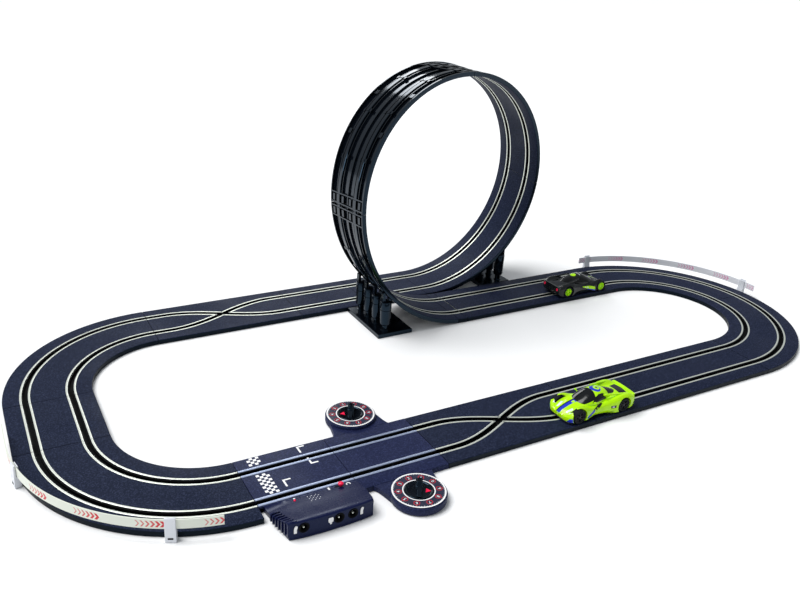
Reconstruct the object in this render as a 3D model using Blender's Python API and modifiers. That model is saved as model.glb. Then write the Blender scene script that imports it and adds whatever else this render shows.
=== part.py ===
"""Slot car track set: a two-lane oval with crossovers, a vertical loop and two cars.

Layout frame, in millimetres: x = 0 where the left curve meets the start straight,
y = 0 on the centre line of the front straights, z = 0 on the floor. Every piece is
modelled in that frame (a car in its own), and one empty moves the layout so that
the origin lies under the middle of the set.
"""
import math

import bmesh
import bpy
import numpy as np
from mathutils import Matrix, Vector

MM = 0.001
GAP = 0.3                   # between touching pieces

# Track
TRACK_W = 100.0             # width of every track piece
TRACK_T = 6.5               # top surface above the floor
LANE = 25.5                 # slot to centre line
SLOT_W = 4.0
SLOT_D = 4.5
RECESS_W = 40.0             # hollow under the middle of a piece
RECESS_TOP = 2.5            # plate left above that hollow
MODULE = 106.0              # a short straight; a standard straight is two of them
CURVE_R = 154.0             # centre line of every curve
LOOP_SHIFT = TRACK_W + 4.0  # the loop moves the track sideways by this
FRONT_LENGTH = 7 * MODULE
REAR_NEAR_Y = 2 * CURVE_R
REAR_FAR_Y = REAR_NEAR_Y + LOOP_SHIFT

# Loop
LOOP_X = 440.0              # its foot on the near track, and on the far one
LOOP_SEAM_X = 430.0         # where its last piece meets the far track
LOOP_SEAM_ANGLE = math.radians(5)   # where its first piece meets the near track
LOOP_R = 175.5              # running surface
LOOP_Z = TRACK_T + LOOP_R
LOOP_Y = REAR_NEAR_Y + LOOP_SHIFT / 2
LOOP_STEPS = 15             # sections in each quarter

# Loop supports
PLATE_X = (287.0, 343.0)
PLATE_Y = (259.0, 360.0)
PLATE_T = 6.0
POST_X = 303.5
POST_PITCH = 26.0
POST_R = 4.4
POST_TOP = 34.0
SLEEVE_R = 8.0
SLEEVE_BOTTOM = 17.0

# Barriers
STRIP_OUT = 3.5             # from the track's edge to the strip
STRIP_T = 1.2
STRIP_Z = (13.5, 24.0)
CLIP_W = 10.5

# Lap counters
COUNTER_X = 155.5
COUNTER_R = 30.0
COUNTER_Y = TRACK_W / 2 + COUNTER_R + 0.4
COUNTER_TOP = 9.5
KNOB_R = 15.5

# Control box
BOX_X = (5.0, 105.7)
BOX_WALL = 1.8
BOX_INNER_Y = -34.0         # edge of the cover beside the near rail
JACK_X = (26.4, 62.5, 77.5)
JACK_Z = 11.8
SWITCH_X = 87.0
SWITCH_Y = -38.0

# Cars
WHEELBASE = 70.5
NOSE_X = 50.5
TAIL_X = -54.5
AXLE_Z = 9.2
WHEEL_R = 8.9
GUIDE_X = 43.0
GEAR_TEETH = 24
PINION_TEETH = 8
GEAR_MODULE = 0.6
GEAR_Y = 10.2
MOTOR_ANGLE = math.radians(20)
LIME_CAR_X = 434.0
BLACK_CAR_X = 675.0

# Track edge and barrier clips
EDGE = TRACK_W / 2
CLIP_REACH = 8.0
REAR_CLIP_ANGLES = (83.0, 4.0)
FRONT_CLIP_ANGLES = (-114.5, -168.0)

MATERIALS = {
    "track_plastic": ((0.020, 0.024, 0.036), 0.55, 0.0),
    "start_plastic": ((0.022, 0.028, 0.050), 0.50, 0.0),
    "gloss_plastic": ((0.008, 0.009, 0.012), 0.15, 0.0),
    "box_plastic": ((0.010, 0.014, 0.045), 0.35, 0.0),
    "barrier_plastic": ((0.80, 0.82, 0.78), 0.35, 0.0),
    "clip_plastic": ((0.62, 0.64, 0.68), 0.35, 0.0),
    "dial_print": ((0.30, 0.32, 0.40), 0.40, 0.0),
    "knob_plastic": ((0.012, 0.012, 0.016), 0.30, 0.0),
    "red_plastic": ((0.80, 0.02, 0.08), 0.30, 0.0),
    "black_plastic": ((0.015, 0.015, 0.017), 0.45, 0.0),
    "circuit_board": ((0.02, 0.14, 0.05), 0.50, 0.0),
    "steel": ((0.60, 0.60, 0.62), 0.30, 1.0),
    "brass": ((0.70, 0.50, 0.20), 0.30, 1.0),
    "lime_paint": ((0.45, 0.90, 0.01), 0.20, 0.0),
    "black_paint": ((0.012, 0.014, 0.014), 0.20, 0.0),
    "tinted_glass": ((0.02, 0.03, 0.03), 0.08, 0.0),
    "tyre_rubber": ((0.015, 0.015, 0.015), 0.80, 0.0),
}


# ---------------------------------------------------------------- scene helpers

def clear_scene():
    for obj in list(bpy.data.objects):
        bpy.data.objects.remove(obj, do_unlink=True)


def new_collection(name):
    collection = bpy.data.collections.new(name)
    bpy.context.scene.collection.children.link(collection)
    return collection


def material(name):
    found = bpy.data.materials.get(name)
    if found:
        return found
    colour, roughness, metallic = MATERIALS[name]
    made = bpy.data.materials.new(name)
    made.use_nodes = True
    shader = made.node_tree.nodes["Principled BSDF"]
    shader.inputs["Base Color"].default_value = (*colour, 1.0)
    shader.inputs["Roughness"].default_value = roughness
    shader.inputs["Metallic"].default_value = metallic
    return made


def empty(name, location=(0, 0, 0), turn_z=0.0, parent=None):
    obj = bpy.data.objects.new(name, None)
    CUTTERS.objects.link(obj)
    obj.location = Vector(location) * MM
    obj.rotation_euler = (0, 0, turn_z)
    obj.parent = parent
    return obj


def mesh_object(name, mesh, parent=None, colour=None):
    obj = bpy.data.objects.new(name, mesh)
    (PARTS if colour else CUTTERS).objects.link(obj)
    obj.parent = parent
    if colour:
        mesh.materials.append(material(colour))
    else:
        obj.hide_render = True
        obj.display_type = "WIRE"
    return obj


def from_bmesh(name, bm, parent=None, colour=None):
    bmesh.ops.recalc_face_normals(bm, faces=bm.faces)
    mesh = bpy.data.meshes.new(name)
    bm.to_mesh(mesh)
    bm.free()
    return mesh_object(name, mesh, parent, colour)


def box(name, low, high, parent=None, colour=None):
    """A cube primitive stretched between two corners."""
    low, high = Vector(low) * MM, Vector(high) * MM
    bm = bmesh.new()
    bmesh.ops.create_cube(bm, size=1.0)
    bmesh.ops.scale(bm, vec=high - low, verts=bm.verts)
    bmesh.ops.translate(bm, vec=(low + high) / 2, verts=bm.verts)
    return from_bmesh(name, bm, parent, colour)


def cylinder(name, centre, radius, length, axis="Z", segments=20, parent=None, colour=None):
    """A cylinder primitive about its centre, along a frame axis."""
    turn = {"Z": Matrix(), "Y": Matrix.Rotation(math.pi / 2, 4, "X"),
            "X": Matrix.Rotation(math.pi / 2, 4, "Y")}[axis]
    bm = bmesh.new()
    bmesh.ops.create_cone(bm, cap_ends=True, segments=segments, radius1=radius * MM,
                          radius2=radius * MM, depth=length * MM,
                          matrix=Matrix.Translation(Vector(centre) * MM) @ turn)
    return from_bmesh(name, bm, parent, colour)


def outline(name, points, low, high, axis="Z", parent=None, colour=None):
    """A flat outline carried straight along an axis from low to high."""
    bm = bmesh.new()
    order = {"Z": lambda a, b, c: (a, b, c), "X": lambda a, b, c: (c, a, b),
             "Y": lambda a, b, c: (a, c, b)}[axis]
    face = bm.faces.new([bm.verts.new(Vector(order(a, b, low)) * MM) for a, b in points])
    moved = bmesh.ops.extrude_face_region(bm, geom=[face])["geom"]
    step = Vector(order(0, 0, high - low)) * MM
    bmesh.ops.translate(bm, vec=step, verts=[v for v in moved if isinstance(v, bmesh.types.BMVert)])
    bm.normal_update()
    return from_bmesh(name, bm, parent, colour)


def turned(name, profile, segments=20, parent=None, colour=None):
    """A profile of (radius, height) points, listed down its outer side, turned about local Z."""
    bm = bmesh.new()
    verts = [bm.verts.new((r * MM, 0, z * MM)) for r, z in profile]
    for a, b in zip(verts, verts[1:]):
        bm.edges.new((a, b))
    if profile[0][0] > 0:
        bm.edges.new((verts[-1], verts[0]))
    mesh = bpy.data.meshes.new(name)
    bm.to_mesh(mesh)
    bm.free()
    obj = mesh_object(name, mesh, parent, colour)
    screw = obj.modifiers.new("turn", "SCREW")
    screw.axis = "Z"
    screw.steps = screw.render_steps = segments
    screw.use_merge_vertices = True
    screw.merge_threshold = 0.00001
    return obj


def sweep(name, frames, section, parent=None, colour=None):
    """A closed section of (side, up) points carried through frames, ends closed.

    A frame is (origin, side vector, up vector), so the pieces can climb and twist.
    """
    bm = bmesh.new()
    rings = []
    for origin, side, up in frames:
        rings.append([bm.verts.new((origin + side * s + up * h) * MM) for s, h in section])
    count = len(section)
    for a, b in zip(rings, rings[1:]):
        for i in range(count):
            j = (i + 1) % count
            bm.faces.new((a[i], a[j], b[j], b[i]))
    bm.faces.new(rings[0])
    bm.faces.new(rings[-1])
    return from_bmesh(name, bm, parent, colour)


def boolean(obj, other, operation="DIFFERENCE"):
    """Apply one Boolean at once, and drop the other object."""
    bpy.context.view_layer.update()
    mod = obj.modifiers.new(operation.lower(), "BOOLEAN")
    mod.operation = operation
    mod.solver = "EXACT"
    mod.object = other
    bpy.context.view_layer.update()
    evaluated = obj.evaluated_get(bpy.context.evaluated_depsgraph_get())
    mesh = bpy.data.meshes.new_from_object(evaluated)
    for name in [m.name for m in obj.modifiers]:
        obj.modifiers.remove(obj.modifiers[name])
    mesh.name = obj.name
    old, obj.data = obj.data, mesh
    bpy.data.meshes.remove(old)
    bpy.data.objects.remove(other, do_unlink=True)
    return obj


def cut(obj, *cutters):
    for cutter in cutters:
        boolean(obj, cutter)
    return obj


def join(obj, *others):
    for other in others:
        boolean(obj, other, "UNION")
    return obj


# ------------------------------------------------------------------ track pieces

def track_section(low=-EDGE, high=EDGE):
    """Track seen from its end: two slots in the top and a hollow under the middle."""
    half, mid = SLOT_W / 2, RECESS_W / 2
    points = [(low, -TRACK_T), (low, 0)]
    for lane in (-LANE, LANE):
        points += [(lane - half, 0), (lane - half, -SLOT_D), (lane + half, -SLOT_D), (lane + half, 0)]
    points += [(high, 0), (high, -TRACK_T)]
    points += [(mid, -TRACK_T), (mid, -RECESS_TOP), (-mid, -RECESS_TOP), (-mid, -TRACK_T)]
    return points


def straight_frames(start, end, y):
    side, up = Vector((0, 1, 0)), Vector((0, 0, 1))
    return [(Vector((x, y, TRACK_T)), side, up) for x in (start + GAP / 2, end - GAP / 2)]


def straight(name, start, end, y, colour="track_plastic"):
    return sweep(name, straight_frames(start, end, y), track_section(), LAYOUT, colour)


def arc_frames(centre, radius, first, last, steps, z=TRACK_T, inset=GAP / 2):
    """Frames along a level arc, from one angle to another in degrees."""
    trim = math.degrees(inset / radius) * (1 if last > first else -1)
    frames = []
    for angle in np.linspace(first + trim, last - trim, steps + 1):
        out = Vector((math.cos(math.radians(angle)), math.sin(math.radians(angle)), 0))
        frames.append((Vector((*centre, z)) + out * radius, out, Vector((0, 0, 1))))
    return frames


def curve(name, centre, first):
    return sweep(name, arc_frames(centre, CURVE_R, first, first + 90, 15), track_section(),
                 LAYOUT, "track_plastic")


def loop_frame(angle):
    """A frame on the loop: angle 0 at the foot on the near track, 360 on the far one.

    The path is a circle seen from the front. It moves sideways by the loop's shift as
    angle - sin(angle), so that it leaves and meets the straights without a kink.
    """
    share = (angle - math.sin(angle)) / (2 * math.pi)
    slope = LOOP_SHIFT * (1 - math.cos(angle)) / (2 * math.pi)
    origin = Vector((LOOP_X - LOOP_R * math.sin(angle), REAR_NEAR_Y + LOOP_SHIFT * share,
                     LOOP_Z - LOOP_R * math.cos(angle)))
    up = Vector((math.sin(angle), 0, math.cos(angle)))
    ahead = Vector((-LOOP_R * math.cos(angle), slope, LOOP_R * math.sin(angle))).normalized()
    return origin, ahead.cross(up), up


def loop_piece(name, first, last, tail=()):
    """A piece of the loop from one angle to another, and a level end where it has one."""
    trim = GAP / 2 / LOOP_R
    angles = np.linspace(first + trim, last - (0 if tail else trim), LOOP_STEPS + 1)
    frames = [loop_frame(a) for a in angles] + list(tail)
    return sweep(name, frames, track_section(), LAYOUT, "track_plastic")


def make_loop():
    quarter = math.pi / 2
    across, up = Vector((0, 1, 0)), Vector((0, 0, 1))
    flat_end = (Vector((LOOP_SEAM_X + GAP / 2, REAR_FAR_Y, TRACK_T)), across, up)
    foot = [(Vector((FRONT_LENGTH - GAP / 2, REAR_NEAR_Y, TRACK_T)), across, up)]
    foot += [loop_frame(a) for a in np.linspace(0, LOOP_SEAM_ANGLE - GAP / 2 / LOOP_R, 3)]
    sweep("rear_long_straight", foot, track_section(), LAYOUT, "track_plastic")
    loop_piece("loop_lower_left", LOOP_SEAM_ANGLE, quarter)
    loop_piece("loop_upper_left", quarter, 2 * quarter)
    loop_piece("loop_upper_right", 2 * quarter, 3 * quarter)
    loop_piece("loop_lower_right", 3 * quarter, 4 * quarter, (flat_end,))


def crossing_lane(x, start, end, sign):
    """Lane across a crossover: straight at both ends, a cosine sweep between."""
    run_in = 25.0
    share = min(max((x - start - run_in) / (end - start - 2 * run_in), 0.0), 1.0)
    return sign * LANE * math.cos(math.pi * share)


def crossover(name, start, end, y):
    """A full-depth slab whose two slots change places."""
    slab = box(name, (start + GAP / 2, y - EDGE, 0), (end - GAP / 2, y + EDGE, TRACK_T),
               LAYOUT, "track_plastic")
    half = SLOT_W / 2
    section = [(-half, -SLOT_D), (half, -SLOT_D), (half, 1), (-half, 1)]
    for sign in (1, -1):
        xs = [start - 1, *np.linspace(start + 25, end - 25, 15), end + 1]
        frames = []
        for x in xs:
            ahead = Vector((2, crossing_lane(x + 1, start, end, sign)
                            - crossing_lane(x - 1, start, end, sign), 0)).normalized()
            side = Vector((-ahead.y, ahead.x, 0))
            origin = Vector((x, y + crossing_lane(x, start, end, sign), TRACK_T))
            frames.append((origin, side, Vector((0, 0, 1))))
        cut(slab, sweep("slot_cutter", frames, section, LAYOUT))
    return slab


def start_straight():
    """The first straight, with room in its near edge for the control box."""
    piece = straight("start_straight", 0, MODULE, 0, "start_plastic")
    cut(piece, box("notch", (BOX_X[0] - GAP, -EDGE - 1, -1), (MODULE + 1, BOX_INNER_Y + GAP, 8), LAYOUT))
    return piece


def counter_straight():
    """The second straight, with a channel under each lane for a counter's lever."""
    piece = straight("counter_straight", MODULE, 2 * MODULE, 0, "start_plastic")
    for side in (-1, 1):
        low, high = sorted((side * (EDGE + 1), side * (LANE - 3.5)))
        cut(piece, box("lever_channel", (COUNTER_X - 12, low, -1), (COUNTER_X + 12, high, 2.6), LAYOUT))
    return piece


def make_track():
    start_straight()
    counter_straight()
    crossover("front_crossover", 2 * MODULE, 4 * MODULE, 0)
    straight("front_long_straight", 4 * MODULE, FRONT_LENGTH, 0)
    curve("right_curve_front", (FRONT_LENGTH, CURVE_R), -90)
    curve("right_curve_rear", (FRONT_LENGTH, CURVE_R), 0)
    make_loop()
    straight("rear_short_straight", LOOP_SEAM_X - MODULE, LOOP_SEAM_X, REAR_FAR_Y)
    straight("rear_closing_straight", 2 * MODULE, LOOP_SEAM_X - MODULE, REAR_FAR_Y)
    crossover("rear_crossover", 0, 2 * MODULE, REAR_FAR_Y)
    curve("left_curve_rear", (0, CURVE_R + LOOP_SHIFT), 90)
    frames = [(Vector((-CURVE_R, y, TRACK_T)), Vector((1, 0, 0)), Vector((0, 0, 1)))
              for y in (CURVE_R + GAP / 2, CURVE_R + LOOP_SHIFT - GAP / 2)]
    sweep("left_short_straight", frames, track_section(), LAYOUT, "track_plastic")
    curve("left_curve_front", (0, CURVE_R), 180)


# ----------------------------------------------------------------- loop supports

def post_places():
    middle = loop_frame(math.asin((LOOP_X - POST_X) / LOOP_R))[0].y
    return [(POST_X, middle + POST_PITCH * (i - 1.5)) for i in range(4)]


def support_base(name, holder):
    """A flat plate with four moulded posts."""
    plate = box(name, (PLATE_X[0], PLATE_Y[0], 0), (PLATE_X[1], PLATE_Y[1], PLATE_T),
                holder, "gloss_plastic")
    for x, y in post_places():
        join(plate, cylinder("post", (x, y, (PLATE_T - 1 + POST_TOP) / 2), POST_R,
                             POST_TOP - PLATE_T + 1, segments=12, parent=holder))
    return plate


def support_cradle(name, holder):
    """Four sleeves over the posts, joined by a beam whose top follows the loop."""
    high = 80.0
    first, last = post_places()[0][1], post_places()[-1][1]
    cradle = box(name, (POST_X - 6, first, 37), (POST_X + 6, last, high), holder, "gloss_plastic")
    for x, y in post_places():
        join(cradle, cylinder("sleeve", (x, y, (SLEEVE_BOTTOM + high) / 2), SLEEVE_R,
                              high - SLEEVE_BOTTOM, segments=16, parent=holder))
    ring = cylinder("ring", (LOOP_X, LOOP_Y, LOOP_Z), LOOP_R + TRACK_T + 0.5, 300, "Y", 90, holder)
    cut(cradle, ring)
    for x, y in post_places():
        bore = cylinder("bore", (x, y, 17.5), POST_R + GAP, POST_TOP + 1, segments=12, parent=holder)
        cut(cradle, bore)
    return cradle


def make_supports():
    """The front left pair, and the same pair turned half round under the right side."""
    for place, turn in (("left", 0.0), ("right", math.pi)):
        corner = (0, 0, 0) if turn == 0 else (2 * LOOP_X, 2 * LOOP_Y, 0)
        holder = empty("support_%s_place" % place, corner, turn, LAYOUT)
        support_base("loop_base_" + place, holder)
        support_cradle("loop_cradle_" + place, holder)


# ---------------------------------------------------------------------- barriers

def barrier_section():
    half = STRIP_T / 2
    height = STRIP_Z[1] - STRIP_Z[0]
    return [(-half, 0), (half, 0), (half, height), (-half, height)]


def make_barriers():
    radius = CURVE_R + EDGE + STRIP_OUT + STRIP_T / 2
    frames = arc_frames((0, CURVE_R), radius, -101, -180, 16, STRIP_Z[0], 0)
    frames.append((frames[-1][0] + Vector((0, 42, 0)), frames[-1][1], frames[-1][2]))
    sweep("barrier_strip_front", frames, barrier_section(), LAYOUT, "barrier_plastic")
    frames = arc_frames((FRONT_LENGTH, CURVE_R), radius, 88, -2.7, 18, STRIP_Z[0], 0)
    sweep("barrier_strip_rear", frames, barrier_section(), LAYOUT, "barrier_plastic")
    places = [("front_right", (0, CURVE_R), FRONT_CLIP_ANGLES[0]),
              ("front_left", (0, CURVE_R), FRONT_CLIP_ANGLES[1]),
              ("rear_left", (FRONT_LENGTH, CURVE_R), REAR_CLIP_ANGLES[0]),
              ("rear_right", (FRONT_LENGTH, CURVE_R), REAR_CLIP_ANGLES[1])]
    for place, centre, angle in places:
        barrier_clip("barrier_clip_" + place, centre, math.radians(angle))


def barrier_clip(name, centre, angle):
    """A bracket beside the track's edge, with a groove that holds the strip."""
    inner, outer = STRIP_OUT - GAP, STRIP_OUT + STRIP_T + GAP
    floor = STRIP_Z[0] - GAP
    side = [(GAP + 0.5, 0), (CLIP_REACH, 0), (CLIP_REACH, 3), (outer + 1.6, 26.5),
            (outer, 26.5), (outer, floor), (inner, floor), (inner, 25), (inner - 1.2, 25),
            (inner - 1.2, 11), (GAP + 0.5, 9)]
    foot = Vector((math.cos(angle), math.sin(angle), 0)) * (CURVE_R + EDGE) + Vector((*centre, 0))
    place = empty(name + "_place", foot, angle, LAYOUT)
    return outline(name, side, -CLIP_W / 2, CLIP_W / 2, "Y", place, "clip_plastic")


# ------------------------------------------------------------------ lap counters

def star(teeth, outer, inner, phase=0.0):
    """Outline of a wheel with pointed teeth; the first tooth stands at phase."""
    points = []
    for i in range(2 * teeth):
        radius = outer if i % 2 == 0 else inner
        angle = phase + math.pi * i / teeth
        points.append((radius * math.cos(angle), radius * math.sin(angle)))
    return points


def counter_housing(name, place, side):
    """A round puck on a neck that reaches the track's edge, hollow underneath."""
    edge = side * (EDGE + GAP - COUNTER_Y)
    reach = COUNTER_R - 1.5
    neck = [(-36.5, edge), (34.5, edge), (reach, 0), (-reach, 0)]
    puck = cylinder(name, (0, 0, COUNTER_TOP / 2), COUNTER_R, COUNTER_TOP, segments=36,
                    parent=place, colour="start_plastic")
    join(puck, outline("neck", neck, 0, TRACK_T - 0.3, "Z", place))
    low, high = sorted((0, edge - side))
    cut(puck, cylinder("hollow", (0, 0, 3.25), 25.5, 8.5, segments=28, parent=place),
        cylinder("shaft_hole", (0, 0, COUNTER_TOP), 3.2, 8, segments=16, parent=place),
        box("lever_slot", (-12, low, -1), (12, high, 2.6), place))
    return puck


def counter_knob(name, place):
    """A round disc with a grip across it, on a shaft with a ten-tooth ratchet wheel."""
    profile = [(0, 11.4), (KNOB_R - 0.6, 11.4), (KNOB_R, 10.8), (KNOB_R, 9.8), (2.8, 9.8), (2.8, 6.0),
               (4.0, 6.0), (4.0, 2.9), (0, 2.9)]
    pivot = empty(name + "_axis", (0, 0, 0), math.radians(60), place)
    knob = turned(name, profile, 24, pivot, "knob_plastic")
    grip = [(-14.5, 11.2), (14.5, 11.2), (14.5, 15.5), (11.5, 20.0), (-9, 16.5), (-14.5, 14.0)]
    join(knob, outline("grip", grip, -2.4, 2.4, "Y", pivot),
         outline("ratchet", star(10, 9.0, 7.0), 3.2, 5.4, "Z", pivot))
    return knob


def counter_lever(name, place, side):
    """A flat lever from its pivot in the puck to a finger that stands in the slot."""
    pivot = empty(name + "_axis", (0, side * 14, 0), 0, place)
    tip = side * (LANE - COUNTER_Y - 14)
    low, high = sorted((0.0, tip))
    lever = box(name, (-1.6, low - 1.3, 0.6), (1.6, high + 1.3, 2.2), pivot, "black_plastic")
    join(lever, cylinder("boss", (0, 0, 1.55), 2.4, 1.5, segments=12, parent=pivot),
         box("finger", (-1.2, tip - 0.9, 1.8), (1.2, tip + 0.9, 5.2), pivot),
         box("pawl", (-1.2, -side * 3.7 - 0.8, 1.8), (1.2, -side * 3.7 + 0.8, 5.0), pivot))
    return lever


def make_counters():
    for where, side in (("front", -1), ("rear", 1)):
        place = empty("counter_%s_place" % where, (COUNTER_X, side * COUNTER_Y, 0), 0, LAYOUT)
        counter_housing("counter_housing_" + where, place, side)
        ring = [(28.6, 10.6), (28.6, 9.8), (16.0, 9.8), (16.0, 10.6)]
        turned("counter_scale_" + where, ring, 32, place, "dial_print")
        counter_knob("counter_knob_" + where, place)
        counter_lever("counter_lever_" + where, place, side)


# ------------------------------------------------------------------- control box

def box_profile(inset=0.0):
    """The cover seen from its end: low beside the rail, rising to the front edge."""
    front, crest = -86.5 + inset, TRACK_T + 13.2 - inset
    return [(BOX_INNER_Y - inset, -1 if inset else 0.3), (BOX_INNER_Y - inset, TRACK_T + 0.8 - inset),
            (-45, TRACK_T + 3.4 - inset), (-58, TRACK_T + 6.0 - inset), (-72, TRACK_T + 9.6 - inset),
            (-81, crest), (front + 1.0, crest), (front, crest - 1.2), (front, -1 if inset else 0.3)]


def box_plan(inset=0.0):
    """The cover from above: narrower towards the front, with a slightly bowed front face."""
    left, right = BOX_X[0] + inset, BOX_X[1] - inset
    front = -87.0 + inset
    return [(left, BOX_INNER_Y + 1), (right, BOX_INNER_Y + 1), (right, -56), (right - 9.5, front + 1.5),
            (75, front), (30, front), (left + 7.5, front + 2.5), (left, -52)]


def box_solid(name, inset, colour=None):
    solid = outline(name, box_profile(inset), BOX_X[0], BOX_X[1], "X", LAYOUT, colour)
    return boolean(solid, outline("plan", box_plan(inset), -2, 40, "Z", LAYOUT), "INTERSECT")


def make_control_box():
    cover = box_solid("control_box_cover", 0.0, "box_plastic")
    cut(cover, box_solid("cover_hollow", BOX_WALL))
    for x in JACK_X:
        cut(cover, cylinder("jack_hole", (x, -86, JACK_Z), 4.9, 8, "Y", 20, LAYOUT))
    slot_low, slot_high = (SWITCH_X - 6.6, SWITCH_Y - 1.6, 4), (SWITCH_X + 1.6, SWITCH_Y + 1.6, 12)
    cut(cover, box("switch_slot", slot_low, slot_high, LAYOUT),
        cylinder("lamp_hole", (35, -41, 8), 1.8, 8, segments=12, parent=LAYOUT))
    base = box_solid("control_box_base", BOX_WALL + GAP, "black_plastic")
    above = box("above", (0, -100, 1.6), (120, -20, 60), LAYOUT)
    below = box("below", (0, -100, -5), (120, -20, 0), LAYOUT)
    cut(base, above, below)
    box("circuit_board", (17, -79, 1.9), (94, -42, 3.4), LAYOUT, "circuit_board")
    cylinder("buzzer", (54, -54, 5.3), 7.5, 3.2, segments=20, parent=LAYOUT, colour="black_plastic")
    for side, x in zip(("left", "power", "right"), JACK_X):
        place = empty("jack_%s_place" % side, (x, -86.2, JACK_Z), 0, LAYOUT)
        place.rotation_euler = (math.pi / 2, 0, 0)
        profile = [(0, -6.6), (3.2, -6.6), (3.2, 0), (4.6, 0), (4.6, -7.8), (0, -7.8)]
        turned("jack_" + side, profile, 20, place, "black_plastic")
    slider = empty("power_switch_place", (SWITCH_X, SWITCH_Y, 0), 0, LAYOUT)
    knob = turned("power_switch_knob", [(0, 12.9), (1.6, 12.4), (2.6, 11.2), (2.8, 10.0), (2.5, 8.9),
                                        (1.2, 8.4), (1.2, 4.4), (0, 4.4)], 14, slider, "red_plastic")
    join(knob, box("slider", (-3.2, -1.9, 3.8), (3.2, 1.9, 4.9), slider))
    lamp = empty("power_lamp_place", (35, -41, 0), 0, LAYOUT)
    lens = [(0, 10.2), (0.9, 9.9), (1.45, 9.2), (1.45, 4.2), (0, 4.2)]
    turned("power_lamp", lens, 12, lamp, "red_plastic")


# -------------------------------------------------------------------------- cars

def blend(x, knots):
    """Smooth height or width along the car from a few (x, value) knots."""
    for (x0, v0), (x1, v1) in zip(knots, knots[1:]):
        if x <= x1:
            share = (x - x0) / (x1 - x0)
            share = share * share * (3 - 2 * share)
            return v0 + (v1 - v0) * share
    return knots[-1][1]


BODY_TOP = [(TAIL_X, 17.0), (-45, 22.6), (-35, 23.2), (-12, 20.0), (16, 18.5), (34.5, 21.4), (44, 16.0),
            (NOSE_X, 9.0)]
BODY_HALF = [(TAIL_X, 20.0), (-43, 24.0), (-26, 24.0), (0, 22.0), (24, 23.6), (43, 23.4), (NOSE_X, 15.0)]
BODY_LOW = 2.8


def body_section(half, top, low, points):
    """Half a section from the sill to the centre line: a rounded box."""
    angles = np.linspace(0, math.pi / 2, points)
    y = half * np.abs(np.cos(angles)) ** 0.35
    y[-1] = 0
    z = low + (top - low) * np.sin(angles) ** 0.5
    return list(zip(y, z))


def shell(name, stations, half_at, top_at, low, wall, place, colour, points=6):
    """A tub open at the bottom: half lofted over the stations, mirrored, then thickened."""
    bm = bmesh.new()
    rows = []
    for x in stations:
        section = body_section(blend(x, half_at), blend(x, top_at), low, points)
        rows.append([bm.verts.new((x * MM, y * MM, z * MM)) for y, z in section])
    for a, b in zip(rows, rows[1:]):
        for i in range(points - 1):
            bm.faces.new((a[i], a[i + 1], b[i + 1], b[i]))
    for row in (rows[0], rows[-1]):
        foot = bm.verts.new((row[0].co.x, 0, low * MM))
        bm.faces.new([*row, foot])
    bmesh.ops.recalc_face_normals(bm, faces=bm.faces)
    if sum(f.normal.z * f.calc_area() for f in bm.faces) < 0:
        bmesh.ops.reverse_faces(bm, faces=bm.faces)
    mesh = bpy.data.meshes.new(name)
    bm.to_mesh(mesh)
    bm.free()
    obj = mesh_object(name, mesh, place, colour)
    mirror = obj.modifiers.new("other_side", "MIRROR")
    mirror.use_axis = (False, True, False)
    mirror.use_clip = True
    mirror.merge_threshold = 0.00001
    thick = obj.modifiers.new("wall", "SOLIDIFY")
    thick.thickness = wall * MM
    thick.offset = -1
    thick.use_even_offset = True
    return obj


def car_body(name, place, colour):
    body = shell(name, np.linspace(TAIL_X, NOSE_X, 13), BODY_HALF, BODY_TOP, BODY_LOW, 1.2, place, colour)
    for x in (-WHEELBASE / 2, WHEELBASE / 2):
        for side in (-1, 1):
            cut(body, cylinder("arch", (x, side * 19.6, AXLE_Z), 10.6, 15, "Y", 20, place))
    return body


def car_cabin(name, place):
    """The closed cabin that stands on the body: screens and roof in one tinted moulding."""
    stations = np.linspace(-30, 20, 7)
    half = [(-30, 5.0), (-18, 13.0), (4, 14.5), (20, 11.0)]
    bm = bmesh.new()
    rows = []
    for x in stations:
        low = blend(x, BODY_TOP) + GAP
        top = low + 0.5 + 8.6 * math.sin(math.pi * (x + 30) / 50) ** 0.8 if -30 < x < 20 else low + 0.5
        width = blend(x, half)
        across = (-1, -0.7, -0.35, 0, 0.35, 0.7, 1)
        row = [(width * s, low + (top - low) * (1 - abs(s) ** 2.6)) for s in across]
        rows.append([bm.verts.new((x * MM, y * MM, z * MM)) for y, z in row])
    count = len(rows[0])
    for a, b in zip(rows, rows[1:]):
        for i in range(count - 1):
            bm.faces.new((a[i], a[i + 1], b[i + 1], b[i]))
        bm.faces.new((a[0], b[0], b[-1], a[-1]))
    bm.faces.new(rows[0])
    bm.faces.new(rows[-1])
    return from_bmesh(name, bm, place, "tinted_glass")


def car_chassis(name, place):
    """A pan with a waist at each axle, four saddles that hold the axles and a motor bed."""
    half = [(-50, 11), (-44, 12.5), (-22.5, 12.5), (-22.5, 19), (22.5, 19), (22.5, 12.5), (44.5, 12.5),
            (46.5, 9)]
    plan = half + [(x, -y) for x, y in reversed(half)]
    pan = outline(name, plan, 2.2, 4.2, "Z", place, "black_plastic")
    slot = 1.15
    saddle = [(-3, 4.0), (3, 4.0), (3, 11), (slot, 11), (slot, AXLE_Z - slot), (-slot, AXLE_Z - slot),
              (-slot, 11), (-3, 11)]
    for x in (-WHEELBASE / 2, WHEELBASE / 2):
        for y in (-11.8, 6.4) if x < 0 else (-11.8, 9.3):
            join(pan, outline("saddle", [(x + a, b) for a, b in saddle], y, y + 2.5, "Y", place))
    join(pan, box("motor_bed", (-28, -8, 4.0), (-21, 5, 6.28), place))
    gear_x = -WHEELBASE / 2
    cut(pan, cylinder("guide_hole", (GUIDE_X, 0, 3), 2.2, 6, segments=14, parent=place),
        box("gear_notch", (gear_x - 8.8, 9.05, 0), (gear_x + 8.8, 14, 6), place))
    return pan


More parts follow.
